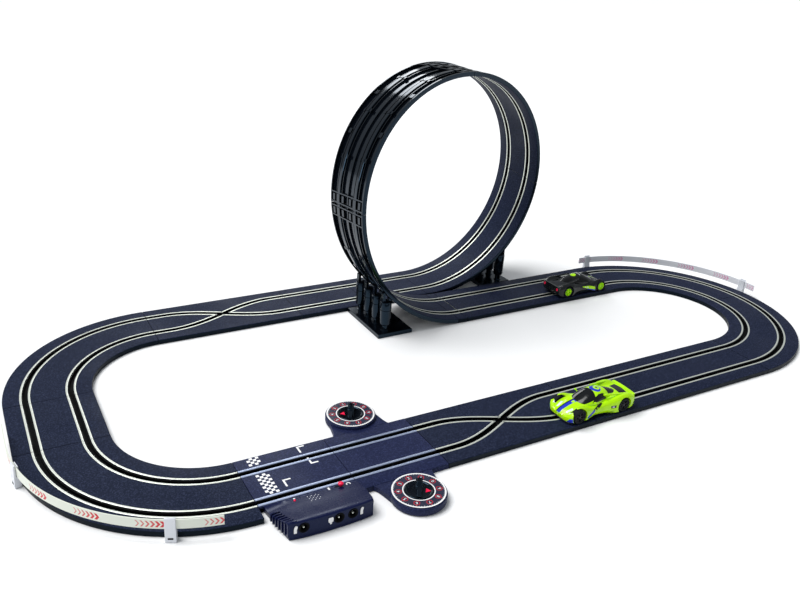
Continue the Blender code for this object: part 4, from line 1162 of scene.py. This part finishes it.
        grip = [(-1.6, -4.2), (1.2, -4.2), (1.2, 0.4), (1.9, 1.4), (1.9, 3.6), (0.4, 4.2), (-0.8, 3.4),
                (-1.4, 1.6), (-1.6, -1)]
        plug = [(-0.9, -4.0), (0.9, -4.0), (0.9, -2.2), (2.4, -1.6), (2.7, 1.4), (2.2, 3.4), (-2.2, 3.4),
                (-2.7, 1.4), (-2.4, -1.6),
                (-0.9, -2.2)]
        jacks = [((place_of(n)[0] + place_of(n)[1]) / 2) for n in ("jack_left", "jack_power", "jack_right")]
        front_sign(grip, jacks[0][0] - 8.6, jacks[0][2])
        front_sign(plug, jacks[1][0] - 9.0, jacks[1][2])
        front_sign(grip, jacks[2][0] + 9.6, jacks[2][2])
        low, high = place_of("power_switch_knob")
        x, y = (low[0] + high[0]) / 2, (low[1] + high[1]) / 2
        z = self.slope(y)
        block(shape, (x - 14.0, y - 2.8, z - 0.8), (x - 12.2, y + 2.8, z + 0.3))
        ring = np.array([(2.5, 0.15), (2.5, -0.8), (1.5, -0.8), (1.5, 0.15), (2.5, 0.15)])
        shape.grid(turn(ring, (x + 8.6, y, z + 0.1), segments=28), wrap=True)
        dot = turn([(0.01, -0.5), (1.0, -0.5), (1.0, 0.15), (0.01, 0.15)], (36.0, -36.6, self.slope(-36.6)),
                   segments=16)
        shape.grid(dot, wrap=True)
        shape.build("box_signs", LIBRARY["white"], "track_set", "dial_print")
        holes = Shape()
        for row in range(5):
            for column in range(3):
                px, py = 48.8 + column * 4.4 + (row % 2) * 2.2, -40.4 - row * 2.6
                turned(holes, [(0.01, -0.6), (0.55, -0.6), (0.55, 0.05), (0.01, 0.05)],
                       (px, py, self.slope(py)), segments=12)
        holes.build("speaker_holes", LIBRARY["clip"], "track_set", "black_plastic")
        lamp_low, lamp_high = place_of("power_lamp")
        lx, ly = (lamp_low[:2] + lamp_high[:2]) / 2
        lens = [(0.01, 4.2), (1.4, 4.2), (1.4, 9.2), (1.0, 9.9), (0.4, 10.2), (0.01, 10.2)]
        turned(Shape(), lens, (lx, ly, 0), segments=24).build("lamp_lens", LIBRARY["red_plastic"],
                                                              "track_set", "red_plastic", "power_lamp")

    def slope(self, y):
        spots = self.section((BOX_LOW[0] + BOX_HIGH[0]) / 2, 0)[2:12]
        return float(np.interp(-y, -spots[:, 0], spots[:, 1]))

    def switch(self):
        low, high = place_of("power_switch_knob")
        x, y = (low[0] + high[0]) / 2, (low[1] + high[1]) / 2
        z = self.slope(y)
        # Painted shade: a near-black block laid on the slope stands for the shade in the slot the switch
        # moves in.
        well = block(Shape(), (x - 6.6, y - 2.0, z - 0.8), (x + 1.8, y + 2.0, z + 0.08))
        well.build("switch_well_shade", LIBRARY["groove"], "track_set", "black_plastic")
        ball = [(0.01, 4.4), (1.2, 4.4), (1.2, 9.2), (2.4, 9.8), (3.0, 10.9), (2.9, 12.0), (2.2, 12.7),
                (1.1, 13.1), (0.01, 13.2)]
        turned(Shape(), ball, (x, y, 0), segments=32).build("switch_ball", LIBRARY["red_plastic"],
                                                            "power_switch", "red_plastic",
                                                          "power_switch_knob")


# ----------------------------------------------------------------------------------- cars

# In a car's own frame x runs forwards from the middle of the wheelbase, y to its left and z up
# from the running surface, all in millimetres.
TAIL, NOSE = -54.5, 50.5
WIDEST = [(TAIL, 19.0), (-52.5, 21.8), (-49, 23.0), (-42, 24.0), (-27, 24.0), (-17, 22.4), (-6, 20.8),
          (8, 20.6), (18, 22.0),
          (27, 23.4), (42, 23.4), (45.5, 22.0), (48.4, 18.4), (50, 14.5), (NOSE, 11.5)]
WIDEST_Z = [(TAIL, 13.5), (-40, 12.5), (-20, 9.0), (10, 8.0), (26, 9.5), (42, 9.0), (NOSE, 5.4)]
FENDER = [(TAIL, 17.4), (-50, 19.4), (-44, 21.8), (-36, 22.8), (-27, 22.2), (-16, 19.2), (-4, 16.6),
          (8, 15.6), (19, 17.0),
          (28, 19.6), (35, 20.3), (40, 18.4), (44.5, 14.8), (48.4, 11.2), (NOSE, 8.0)]
DECK = [(TAIL, 17.0), (-50, 18.2), (-40, 18.8), (-26, 19.2), (-10, 19.2), (8, 18.4), (20, 18.0), (29, 17.0),
        (36, 15.0), (42, 12.6),
        (47, 10.0), (NOSE, 7.6)]
MIDDLE = [(TAIL, 17.4), (-40, 19.6), (-26, 20.6), (-10, 20.4), (8, 19.6), (20, 19.2), (29, 18.2),
          (36, 16.2), (42, 13.8),
          (47, 11.0), (NOSE, 8.0)]
BELLY = [(TAIL, 7.0), (-50.5, 4.0), (-46.8, 2.9), (46.8, 2.8), (NOSE, 3.2)]
CABIN_HALF = [(-37, 5.0), (-30, 8.4), (-20, 11.6), (-8, 14.2), (4, 15.8), (14, 15.6), (21, 13.6),
              (28.0, 8.5)]
CABIN_TOP = [(-37, 19.2), (-30, 22.4), (-20, 25.8), (-10, 28.4), (-3, 29.2), (4, 28.6), (11, 26.0),
             (18, 22.6), (24, 19.6),
             (28.0, 17.6)]


def smooth_rows(points, per_step):
    """Rows of control points joined by a Catmull-Rom curve along the second axis."""
    first = 2 * points[:, :1] - points[:, 1:2]
    last = 2 * points[:, -1:] - points[:, -2:-1]
    p = np.concatenate([first, points, last], 1)
    t = (np.arange(per_step) / per_step)[None, None, :, None]
    a, b, c, d = (p[:, k:k + points.shape[1] - 1, None, :] for k in range(4))
    rows = 0.5 * (2 * b + (c - a) * t + (2 * a - 5 * b + 4 * c - d) * t**2 + (3 * b - a - 3 * c + d) * t**3)
    return np.concatenate([rows.reshape(len(points), -1, points.shape[2]), points[:, -1:]], 1)


def paint_slot(prefix):
    """The colour slot of the record that a car's paint fills."""
    return "lime_paint" if prefix == "lime_car" else "black_paint"


def ellipse(x, y, half_x, half_y, points=28):
    """Outline of an ellipse: its middle plus the half widths times the cosine and sine of the turn."""
    turn_ = np.linspace(0, 2 * np.pi, points, endpoint=False)
    return np.stack([x + half_x * np.cos(turn_), y + half_y * np.sin(turn_)], 1)


def car_skin(steps_=150, per_step=9):
    """Slices of the body, one per station: foot, widest line, fender, deck and middle are each a
    curve along the car, and every slice is a smooth curve through its own point on each."""
    x = np.concatenate([np.linspace(TAIL, -51, 8)[:-1], np.linspace(-51, 46.5, steps_)[:-1],
                        np.linspace(46.5, NOSE, 14)])
    w, zw, f, d, m, low = (hermite(x, k) for k in (WIDEST, WIDEST_Z, FENDER, DECK, MIDDLE, BELLY))
    tuck = hermite(x, [(TAIL, 1.0), (-24, 1.0), (-10, 2.8), (12, 2.6), (24, 0.8), (NOSE, 0.8)])
    half = [(w - tuck - 1.5, low), (w - tuck, low + 0.5), (w - tuck * 0.6, low + 2.0), (w, zw),
            (w - 0.9, (zw + f) / 2 + 1.2),
            (w - 3.6, f - 0.6), (w * 0.72, f - 0.4), (w * 0.5, d), (w * 0.25, (d + m) / 2 + 0.1),
            (0 * w, m)]
    left = np.stack([np.stack([np.broadcast_to(a, x.shape), np.broadcast_to(b, x.shape)], 1) for a,
                     b in half], 1)
    right = left[:, -2::-1] * (-1, 1)
    rows = smooth_rows(np.concatenate([left, right], 1), per_step)
    return np.concatenate([np.broadcast_to(x[:, None, None], (*rows.shape[:2], 1)), rows], 2)


def cabin_skin():
    """Slices of the cabin: upright sides that lean in and a flat, rounded roof."""
    x = np.linspace(-37, 28, 118)
    half, top = hermite(x, CABIN_HALF), hermite(x, CABIN_TOP)
    t = np.linspace(0, np.pi, 73)
    c, v = np.cos(t), np.sin(t)
    y = half[:, None] * np.sign(c) * np.abs(c) ** 0.72 * (1 - 0.30 * v**1.4)
    z = 13.0 + (top[:, None] - 13.0) * v ** 0.55
    return np.stack([np.broadcast_to(x[:, None], y.shape), y, z], 2)


def edge_distance(points, polygon):
    """Distance of flat points from a polygon's edge, above zero inside it."""
    a = np.asarray(polygon, float)
    b = np.roll(a, -1, 0)
    p = points[:, None, :]
    along = np.clip(np.sum((p - a) * (b - a), 2) / np.sum((b - a) ** 2, 1), 0, 1)
    gap = np.linalg.norm(p - a - along[..., None] * (b - a), axis=2).min(1)
    rises = (a[:, 1] > p[..., 1]) != (b[:, 1] > p[..., 1])
    drop = np.where(b[:, 1] == a[:, 1], 1e-9, b[:, 1] - a[:, 1])
    crosses = rises & (p[..., 0] < (b[:, 0] - a[:, 0]) * (p[..., 1] - a[:, 1]) / drop + a[:, 0])
    return np.where(crosses.sum(1) % 2, gap, -gap)


def tag(piece, name, values):
    """Stores one value per vertex."""
    attribute = piece.data.attributes.new(name, "FLOAT", "POINT")
    attribute.data.foreach_set("value", np.asarray(values, np.float32))


HEADLIGHTS = [[(36.5, 8.6), (45.5, 7.2), (46.5, 9.4), (38.0, 11.4)],
              [(38.5, 15.2), (45.0, 13.0), (46.8, 15.6), (40.0, 18.4)]]
LIME_PLAN = {
    "blue": [[(51, -3.6), (51, 1.6), (25, 3.0), (25, -2.4)]],
    "dark": [[(51, -4.8), (51, -3.5), (25, -2.3), (25, -4.4)],
             [(-37, -9), (-37, 9), (-48, 11), (-50.5, 0), (-48, -11)]],
    "paint": [[(32, -0.4), (31, 2.6), (27.0, 1.9), (28, -1.4)]],
    "pale": HEADLIGHTS,
}
LIME_SIDE = {
    "blue": [[(24.0, 4.0), (19.5, 4.2), (8.5, 11.5), (12.0, 13.2), (22.2, 8.6)],
             [(50.0, 2.2), (44.4, 2.2), (46.2, 9.0), (48.4, 7.6)]],
    "dark": [[(13.0, 13.0), (9.2, 10.8), (-3.5, 16.0), (-2.5, 17.0)],
             [(-14.5, 8.6), (-21.8, 8.8), (-21.6, 12.4), (-14.2, 12.0)],
             [(16.0, 3.4), (-20.0, 3.4), (-20.0, 2.4), (16.0, 2.4)]],
    "pale": [[(-16.2, 9.6), (-19.6, 9.7), (-19.6, 11.2), (-16.2, 11.0)]],
    "paint": [[(6.6, 11.8), (5.0, 12.0), (5.0, 14.2), (6.6, 13.4)],
              [(10.4, 10.6), (8.4, 11.2), (8.4, 13.0), (10.4, 12.2)]],
}
DARK_PLAN = {
    "blue": [[(49, 3.4), (49, 4.6), (26, 7.0), (26, 5.4)]],
    "dark": [[(-37, -9), (-37, 9), (-48, 11), (-50.5, 0), (-48, -11)]],
    "paint": [[(50, -1.0), (50, 3.4), (28, 5.4), (28, 1.2)]],
    "pale": HEADLIGHTS,
}
DARK_SIDE = {
    "blue": [[(24.0, 3.0), (22.6, 5.2), (8.0, 8.0), (7.0, 6.8)], [(49.8, 2.2), (45.6, 2.2), (46.4, 4.4)]],
    "dark": [],
    "pale": [[(10.0, 9.4), (7.4, 9.6), (6.0, 11.6), (8.6, 11.2)],
             [(5.0, 9.9), (3.2, 10.2), (1.6, 12.0), (3.4, 11.8)]],
    "paint": [[(23.2, 5.0), (22.0, 10.4), (14.0, 12.2), (-4.0, 13.2), (-2.0, 11.6), (8.0, 8.2)],
              [(50.0, 4.4), (46.2, 4.2), (45.8, 10.6), (48.8, 8.8)]],
}


class TRACKSET_OT_cars(Piece, bpy.types.Operator):
    """Both cars: painted bodies, glazed cabins, wheels, and finishes for the works inside"""
    bl_idname = "trackset.cars"
    bl_label = "Cars"

    def make(self, sizes, colours):
        lime, graphite, blue = tuple(colours.lime), tuple(colours.graphite), tuple(colours.blue)
        ink_black, pale = linear("0A0D16"), linear("D8DEEA")
        lime_paint = printed_paint("lime_lacquer", lime,
                                   [("blue", blue), ("dark", ink_black), ("paint", lime), ("pale", pale)])
        dark_paint = printed_paint("graphite_lacquer", graphite,
                                   [("dark", ink_black), ("blue", blue), ("paint", lime), ("pale", pale)])
        lime_cabin = printed_paint("lime_cabin_lacquer", lime,
                                   [("blue", blue), ("dark", linear("1A1D2B")),
                                    ("glass", linear("06080D"))])
        dark_cabin = printed_paint("graphite_cabin_lacquer", graphite,
                                   [("blue", linear("C8D2D0")), ("paint", lime),
                                    ("glass", linear("05070A"))])
        rims = {"lime_car": moulded_abs("black_rim_abs", linear("14161C"), 0.35),
                "black_car": moulded_abs("lime_rim_abs", lime, 0.3)}
        trim = moulded_abs("black_trim_abs", linear("0B0D12"), 0.35)
        plain_lime = printed_paint("lime_lacquer_plain", lime, [])
        plain_dark = printed_paint("graphite_lacquer_plain", graphite, [])
        self.car("lime_car", lime_paint, lime_cabin, LIME_PLAN, LIME_SIDE, rims, trim, plain_lime)
        self.car("black_car", dark_paint, dark_cabin, DARK_PLAN, DARK_SIDE, rims, trim, plain_dark)
        self.works()

    def car(self, prefix, paint, cabin_paint, plan, side, rims, trim, fin):
        front, rear = (sum(place_of(prefix + end)) / 2 for end in ("_front_wheels", "_rear_wheels"))
        centre = (front + rear) / 2
        heading = np.sign(front[0] - rear[0])
        base, reach = front[2] - TRACK_T, abs(front[0] - rear[0]) / 2

        def put(shape):
            shape.points = [p * (heading, heading, 1) + (centre[0], centre[1],
                                                         TRACK_T) for p in shape.points]
            return shape

        def local(piece):
            points = np.array([v.co for v in piece.data.vertices])
            return ((points - ORIGIN) / MM - (centre[0], centre[1], TRACK_T)) * (heading, heading, 1)

        self.body(prefix, paint, plan, side, put, local, base, reach)
        self.cabin(prefix, cabin_paint, put, local)
        self.trim(prefix, trim, fin, put)
        for which, x in (("front", reach), ("rear", -reach)):
            self.wheels(prefix, which, x, base, rims[prefix], put)

    def body(self, prefix, paint, plan, side, put, local, base, reach):
        """The shell, with arches and a pocket for the works cut out of it."""
        skin = car_skin()
        shape = put(Shape().tube(skin))
        slot = paint_slot(prefix)
        piece = shape.build(prefix + "_shell", [paint, LIBRARY["groove"]], prefix, slot, prefix + "_body",
                            sharp=34)
        cutters = []
        for x in (-reach, reach):
            for hand in (-1, 1):
                arch = [(0.01, 13.4 * hand), (10.5, 13.4 * hand), (10.5, 30 * hand), (0.01, 30 * hand)]
                cutters.append(loose(put(turned(Shape(), arch, (x, 0, base), "Y", 56)), "tool"))
        for low, high in (((-46.5, -12.9, -2), (46.9, 12.9, 8.0)), ((-23, -19.4, -2), (23, 19.4, 4.6)),
                          ((-42, -12, 0), (-16, 12, 18.6)), ((30, -12, 0), (40, 12, 12))):
            cutters.append(loose(put(block(Shape(), low, high)), "tool"))
        cut_round(piece, cutters, 34)
        points = local(piece)
        self.prints(piece, points, plan, side)

    def prints(self, piece, points, plan, side):
        """Marks each printed shape by its edge distance: some seen from above, some from the side."""
        for name in ("blue", "dark", "paint", "pale"):
            value = np.full(len(points), -9.0)
            for shape in plan.get(name, ()):
                seen = points[:, [0, 1]]
                mirror = seen * (1, -1)
                one_side = min(abs(p[1]) for p in shape) > 7
                value = np.maximum(value, edge_distance(seen, shape))
                if one_side:
                    value = np.maximum(value, edge_distance(mirror, shape))
            value = np.where(points[:, 2] > 6.2, value, -9.0)
            for shape in side.get(name, ()):
                beside = np.where(np.abs(points[:, 1]) > 14.5, edge_distance(points[:, [0, 2]], shape),
                                  -9.0)
                value = np.maximum(value, beside)
            tag(piece, name, value)

    def cabin(self, prefix, paint, put, local):
        """Cabin with windscreen, side windows and engine cover marked as glass."""
        skin = cabin_skin()
        shape = put(Shape().tube(skin))
        slot = paint_slot(prefix)
        piece = shape.build(prefix + "_cabin_shell", paint, prefix, slot, prefix + "_cabin", sharp=50)
        points = local(piece)
        x, y, z = points.T
        half = hermite(x, CABIN_HALF)
        screen = np.minimum(np.minimum(x - 3.2 - 0.012 * y**2, half * 0.86 - np.abs(y)), 30 - x)
        window = edge_distance(points[:, [0, 2]], [(11.5, 18.6), (5.5, 24.2), (-1.0, 26.2), (-8.0, 25.8),
                                                   (-13.0, 22.6), (-12.0, 19.0)])
        window = np.where(np.abs(y) > half * 0.55, window, -9.0)
        rear = np.minimum(-16.5 - x - 0.02 * y**2, half * 0.78 - np.abs(y))
        tag(piece, "glass", np.maximum(np.maximum(screen, window), rear))
        flat = points[:, :2]
        if prefix == "lime_car":
            oval = ellipse(-3.6, 0, 7.0, 7.6)
            disc = ellipse(-5.6, 0, 4.0, 4.4)
            inner = ellipse(-5.6, 0, 1.6, 1.8)
            top = z > 24.5
            blue = np.maximum(np.minimum(edge_distance(flat, oval), -edge_distance(flat, disc)), -9)
            tag(piece, "blue", np.where(top, blue, -9.0))
            tag(piece, "dark", np.where(top, edge_distance(flat, inner), -9.0))
        else:
            disc = ellipse(-10.2, 0, 4.4, 5.0)
            bar = [(-1.2, -6.5), (0.2, -6.5), (0.2, 6.5), (-1.2, 6.5)]
            top = z > 24.5
            tag(piece, "paint", np.where(top, edge_distance(flat, disc), -9.0))
            tag(piece, "blue", np.where(top, edge_distance(flat, bar), -9.0))

    def trim(self, prefix, trim, fin, put):
        """Splitter, rear panel, lamps, mirrors, side fins and tail lip."""
        slot = paint_slot(prefix)
        dark = Shape()
        plate(dark, [(45.9, -22.4), (48.6, -19.0), (50.8, -12.5), (51.4, 0), (50.8, 12.5), (48.6, 19.0),
                     (45.9, 22.4)], 2.2, 3.0, rim=0.2)
        block(dark, (-53.9, -17.0, 5.4), (-52.6, 17.0, 9.4))
        block(dark, (-54.9, -14.0, 11.8), (-53.6, 14.0, 15.0))
        for y in (-3.4, 3.4):
            turned(dark, [(0.01, -55.0), (1.1, -55.0), (1.5, -54.6), (1.5, -53.0), (0.01, -53.0)],
                   (0, y, 10.6), "X", 20)
        put(dark).build(prefix + "_black_trim", trim, prefix, "black_plastic")
        bright = Shape()
        for y in (-15.6, 15.6):
            turned(bright, [(0.01, -55.0), (2.0, -55.0), (2.3, -54.7), (2.3, -53.2), (0.01, -53.2)],
                   (0, y, 14.0), "X", 24)
        put(bright).build(prefix + "_tail_lamps", LIBRARY["red_plastic"], prefix, "red_plastic")
        fins = Shape()
        t = np.linspace(0, 1, 15)
        for hand in (-1, 1):
            x = -8.0 - 38.0 * t
            y = hand * (13.0 + 5.4 * t)
            z = 25.0 - 4.6 * t**1.2
            origin = np.stack([x, y, z], 1)
            side = np.broadcast_to([0.0, 1.0, 0.0], origin.shape)
            rise = np.broadcast_to(UP, origin.shape)
            width = (2.6 - 1.0 * np.sin(np.pi * t))[:, None]
            section = [(-0.5, -0.9), (-0.62, -0.2), (-0.4, 0.5), (0.4, 0.5), (0.62, -0.2), (0.5, -0.9)]
            rings = np.stack([origin + side * a * width + rise * b * 1.5 for a, b in section], 1)
            fins.tube(rings)
            mirror = np.stack([np.array([8.6, 9.6, 11.0, 11.4]), np.full(4, hand * 18.4), np.full(4, 20.6)],
                              1)
            sizes_ = np.array([0.5, 1.0, 1.0, 0.2])
            ring = [(-1.5, -0.9), (-1.7, 0.2), (-1.0, 1.0), (1.0, 1.0), (1.7, 0.2), (1.5, -0.9)]
            rings = np.stack([mirror + (side[:4] * a + rise[:4] * b) * sizes_[:, None] for a, b in ring], 1)
            fins.tube(rings)
            stalk = [[(9.0, hand * 14.6, 18.4), (10.2, hand * 14.6, 18.4), (10.2, hand * 14.6, 19.2),
                      (9.0, hand * 14.6, 19.2)],
                     [(9.4, hand * 17.4, 20.0), (10.4, hand * 17.4, 20.0), (10.4, hand * 17.4, 20.7),
                      (9.4, hand * 17.4, 20.7)]]
            fins.tube(np.array(stalk, float))
        y = np.linspace(-19.0, 19.0, 25)
        bow = 1.0 - (y / 19.0) ** 2
        lip = [(-51.0, 16.8), (-54.4, 17.6), (-55.3, 18.2), (-55.1, 18.8), (-51.6, 18.4)]
        rings = np.stack([np.stack([a - 0.6 * bow, y, np.full_like(y, b) + 0.5 * bow], 1) for a, b in lip],
                         1)
        fins.tube(rings)
        put(fins).build(prefix + "_fins", fin, prefix, slot, bevel=0.12)

    def wheels(self, prefix, which, x, base, rim, put):
        """Tyres with rounded shoulders, dished rims with ten spokes, and the axle."""
        body = f"{prefix}_{which}_wheels_set"
        tyre, hub = Shape(), Shape()
        for hand in (-1, 1):
            section = [(6.2, 15.6), (7.4, 15.0), (8.4, 15.2), (8.9, 16.0), (8.9, 17.6), (8.75, 17.75),
                       (8.75, 18.25), (8.9, 18.4),
                       (8.9, 20.2), (8.75, 20.35), (8.75, 20.85), (8.9, 21.0), (8.85, 22.2), (8.4, 22.9),
                       (7.4, 23.2), (6.6, 23.0),
                       (6.2, 22.4), (6.2, 15.6)]
            turned(tyre, [(r, h * hand) for r, h in section], (x, 0, base), "Y", 56)
            dish = [(0.01, 16.4), (6.3, 16.4), (6.3, 22.6), (5.9, 22.9), (5.6, 22.4), (5.4, 19.2),
                    (0.01, 18.8)]
            turned(hub, [(r, h * hand) for r, h in dish], (x, 0, base), "Y", 48)
            cap = [(0.01, 22.5), (1.2, 22.4), (1.7, 21.9), (1.8, 18.9), (0.01, 18.9)]
            turned(hub, [(r, h * hand) for r, h in cap], (x, 0, base), "Y", 24)
            for i in range(10):
                angle = 2 * math.pi * (i + 0.18 * (-1) ** i) / 10
                out = np.array([math.cos(angle), 0, math.sin(angle)])
                across = np.array([-out[2], 0, out[0]])
                # a turned outline's height runs to the car's right, so it is taken off y
                lift = np.array([0, -hand, 0])
                rings = [[np.array([x, 0, base]) + out * r + across * a * half + lift * h for a, h in
                          ((-1, 19.0), (-1, depth - 0.3), (-0.6, depth), (0.6, depth), (1, depth - 0.3),
                           (1, 19.0))]
                         for r, half, depth in ((1.2, 0.42, 22.0), (3.6, 0.36, 21.9), (5.7, 0.5, 22.5))]
                hub.tube(np.array(rings))
        turned(hub, [(0.01, -16.6), (1.0, -16.6), (1.0, 16.6), (0.01, 16.6)], (x, 0, base), "Y", 20)
        if which == "rear":
            teeth = np.linspace(0, 2 * np.pi, 96, endpoint=False)
            radius = 7.2 + np.where(np.arange(96) % 4 < 2, 0.35, -0.55)
            rings = [[(x + r * math.cos(t), y, base + r * math.sin(t)) for r,
                      t in zip(radius, teeth)] for y in (-11.2, -9.2)]
            hub.tube(np.array(rings))
        put(tyre).build(f"{prefix}_{which}_tyres", LIBRARY["rubber"], body, "tyre_rubber",
                        f"{prefix}_{which}_wheels")
        put(hub).build(f"{prefix}_{which}_rims", rim, body, "tyre_rubber")

    def works(self):
        """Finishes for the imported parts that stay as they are."""
        finishes = {"circuit_board": LIBRARY["board"], "lime_car_motor": LIBRARY["motor"],
                    "black_car_motor": LIBRARY["motor"],
                    "lime_car_pinion": LIBRARY["brass"], "black_car_pinion": LIBRARY["brass"]}
        for name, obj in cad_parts.items():
            if not obj.hide_render:
                obj.material_slots[0].material = finishes.get(name, LIBRARY["side"])


# ---------------------------------------------------------------------------------- stage

class TRACKSET_OT_stage(Piece, bpy.types.Operator):
    """Pale floor, soft lights and the camera"""
    bl_idname = "trackset.stage"
    bl_label = "Stage"

    def make(self, sizes, colours):
        self.floor()
        self.lights()
        self.camera()

    def floor(self):
        mesh = bpy.data.meshes.new("floor")
        corners = ((-1, -1), (1, -1), (1, 1), (-1, 1))
        mesh.from_pydata([(x * FLOOR_HALF, y * FLOOR_HALF, FLOOR_Z) for x, y in corners], [],
                         [(0, 1, 2, 3)])
        material = shader_of("matt_white_floor", Roughness=0.9, Base_Color=(0.9, 0.9, 0.9, 1))[0]
        mesh.materials.append(material)
        floor = bpy.data.objects.new("floor", mesh)
        bpy.context.scene.collection.objects.link(floor)

    def lights(self):
        world = bpy.context.scene.world or bpy.data.worlds.new("studio")
        bpy.context.scene.world = world
        world.use_nodes = True
        background = world.node_tree.nodes.get("Background") or add(world.node_tree, "ShaderNodeBackground")
        background.inputs["Color"].default_value = (0.9, 0.95, 1.0, 1)
        background.inputs["Strength"].default_value = 0.38
        sun = bpy.data.lights.new("high_window", "SUN")
        sun.energy = 2.9
        sun.angle = math.radians(38)
        high = bpy.data.objects.new("high_window", sun)
        high.rotation_euler = (math.radians(-14), math.radians(-24), 0)
        bpy.context.scene.collection.objects.link(high)
        self.softbox("key", (-1.9, -0.5, 0.9), 0.5, 5)
        self.softbox("back", (0.5, 2.2, 1.3), 0.8, 10)
        bpy.context.scene.view_settings.view_transform = "Standard"

    def softbox(self, name, place, size, power):
        light = bpy.data.lights.new(name, "AREA")
        light.size = size
        light.energy = power
        obj = bpy.data.objects.new(name, light)
        obj.location = place
        obj.rotation_euler = (Vector((0.05, 0.0, 0.1)) - Vector(place)).to_track_quat("-Z", "Y").to_euler()
        bpy.context.scene.collection.objects.link(obj)

    def camera(self):
        """A camera beyond the near left of the set, looking down across it."""
        eye = np.array(CAMERA_EYE) + UP * TRACK_T
        swing = Matrix.Rotation(np.linalg.norm(CAMERA_TURN), 3, Vector(CAMERA_TURN))
        right, down, ahead = (np.array(row) for row in swing)
        camera = bpy.data.cameras.new("camera")
        camera.sensor_width = 36.0
        camera.lens = CAMERA_LENS
        camera.clip_end = 50
        obj = bpy.data.objects.new("camera", camera)
        turn_ = Matrix((right, -down, -ahead)).transposed().to_4x4()
        turn_.translation = Vector(eye * MM + ORIGIN)
        obj.matrix_world = turn_
        bpy.context.scene.collection.objects.link(obj)
        bpy.context.scene.camera = obj


# Half the floor's side, and a height just under the set, in metres
FLOOR_HALF = 60.0
FLOOR_Z = -4e-4
# The camera: its place in layout millimetres above the running surface, its turn as an axis times
# an angle in radians, and its focal length in millimetres
CAMERA_EYE = (-212.97, -643.71, 513.22)
CAMERA_TURN = (1.95188, -0.47015, 0.38198)
CAMERA_LENS = 35.96


class TRACKSET_PT_panel(bpy.types.Panel):
    """Lists the steps and the settings"""
    bl_label = "Track set"
    bl_space_type = "VIEW_3D"
    bl_region_type = "UI"
    bl_category = "Track set"

    def draw(self, context):
        for step in STEPS:
            self.layout.operator(step.bl_idname)
        for group in (context.scene.track_sizes, context.scene.track_colours):
            box = self.layout.box()
            for key in group.__annotations__:
                box.prop(group, key)


STEPS = (TRACKSET_OT_stage, TRACKSET_OT_swept_track, TRACKSET_OT_crossovers, TRACKSET_OT_start_prints,
         TRACKSET_OT_supports,
         TRACKSET_OT_barriers, TRACKSET_OT_counters, TRACKSET_OT_control_box, TRACKSET_OT_cars)
CLASSES = (TrackSizes, TrackColours, *STEPS, TRACKSET_PT_panel)


def register():
    for cls in CLASSES:
        bpy.utils.register_class(cls)
    bpy.types.Scene.track_sizes = PointerProperty(type=TrackSizes)
    bpy.types.Scene.track_colours = PointerProperty(type=TrackColours)


def unregister():
    del bpy.types.Scene.track_sizes
    del bpy.types.Scene.track_colours
    for cls in reversed(CLASSES):
        bpy.utils.unregister_class(cls)


def main():
    register()
    make_library()
    for step in STEPS:
        family, name = step.bl_idname.split(".")
        getattr(getattr(bpy.ops, family), name)()


if __name__ == "__main__":
    main()
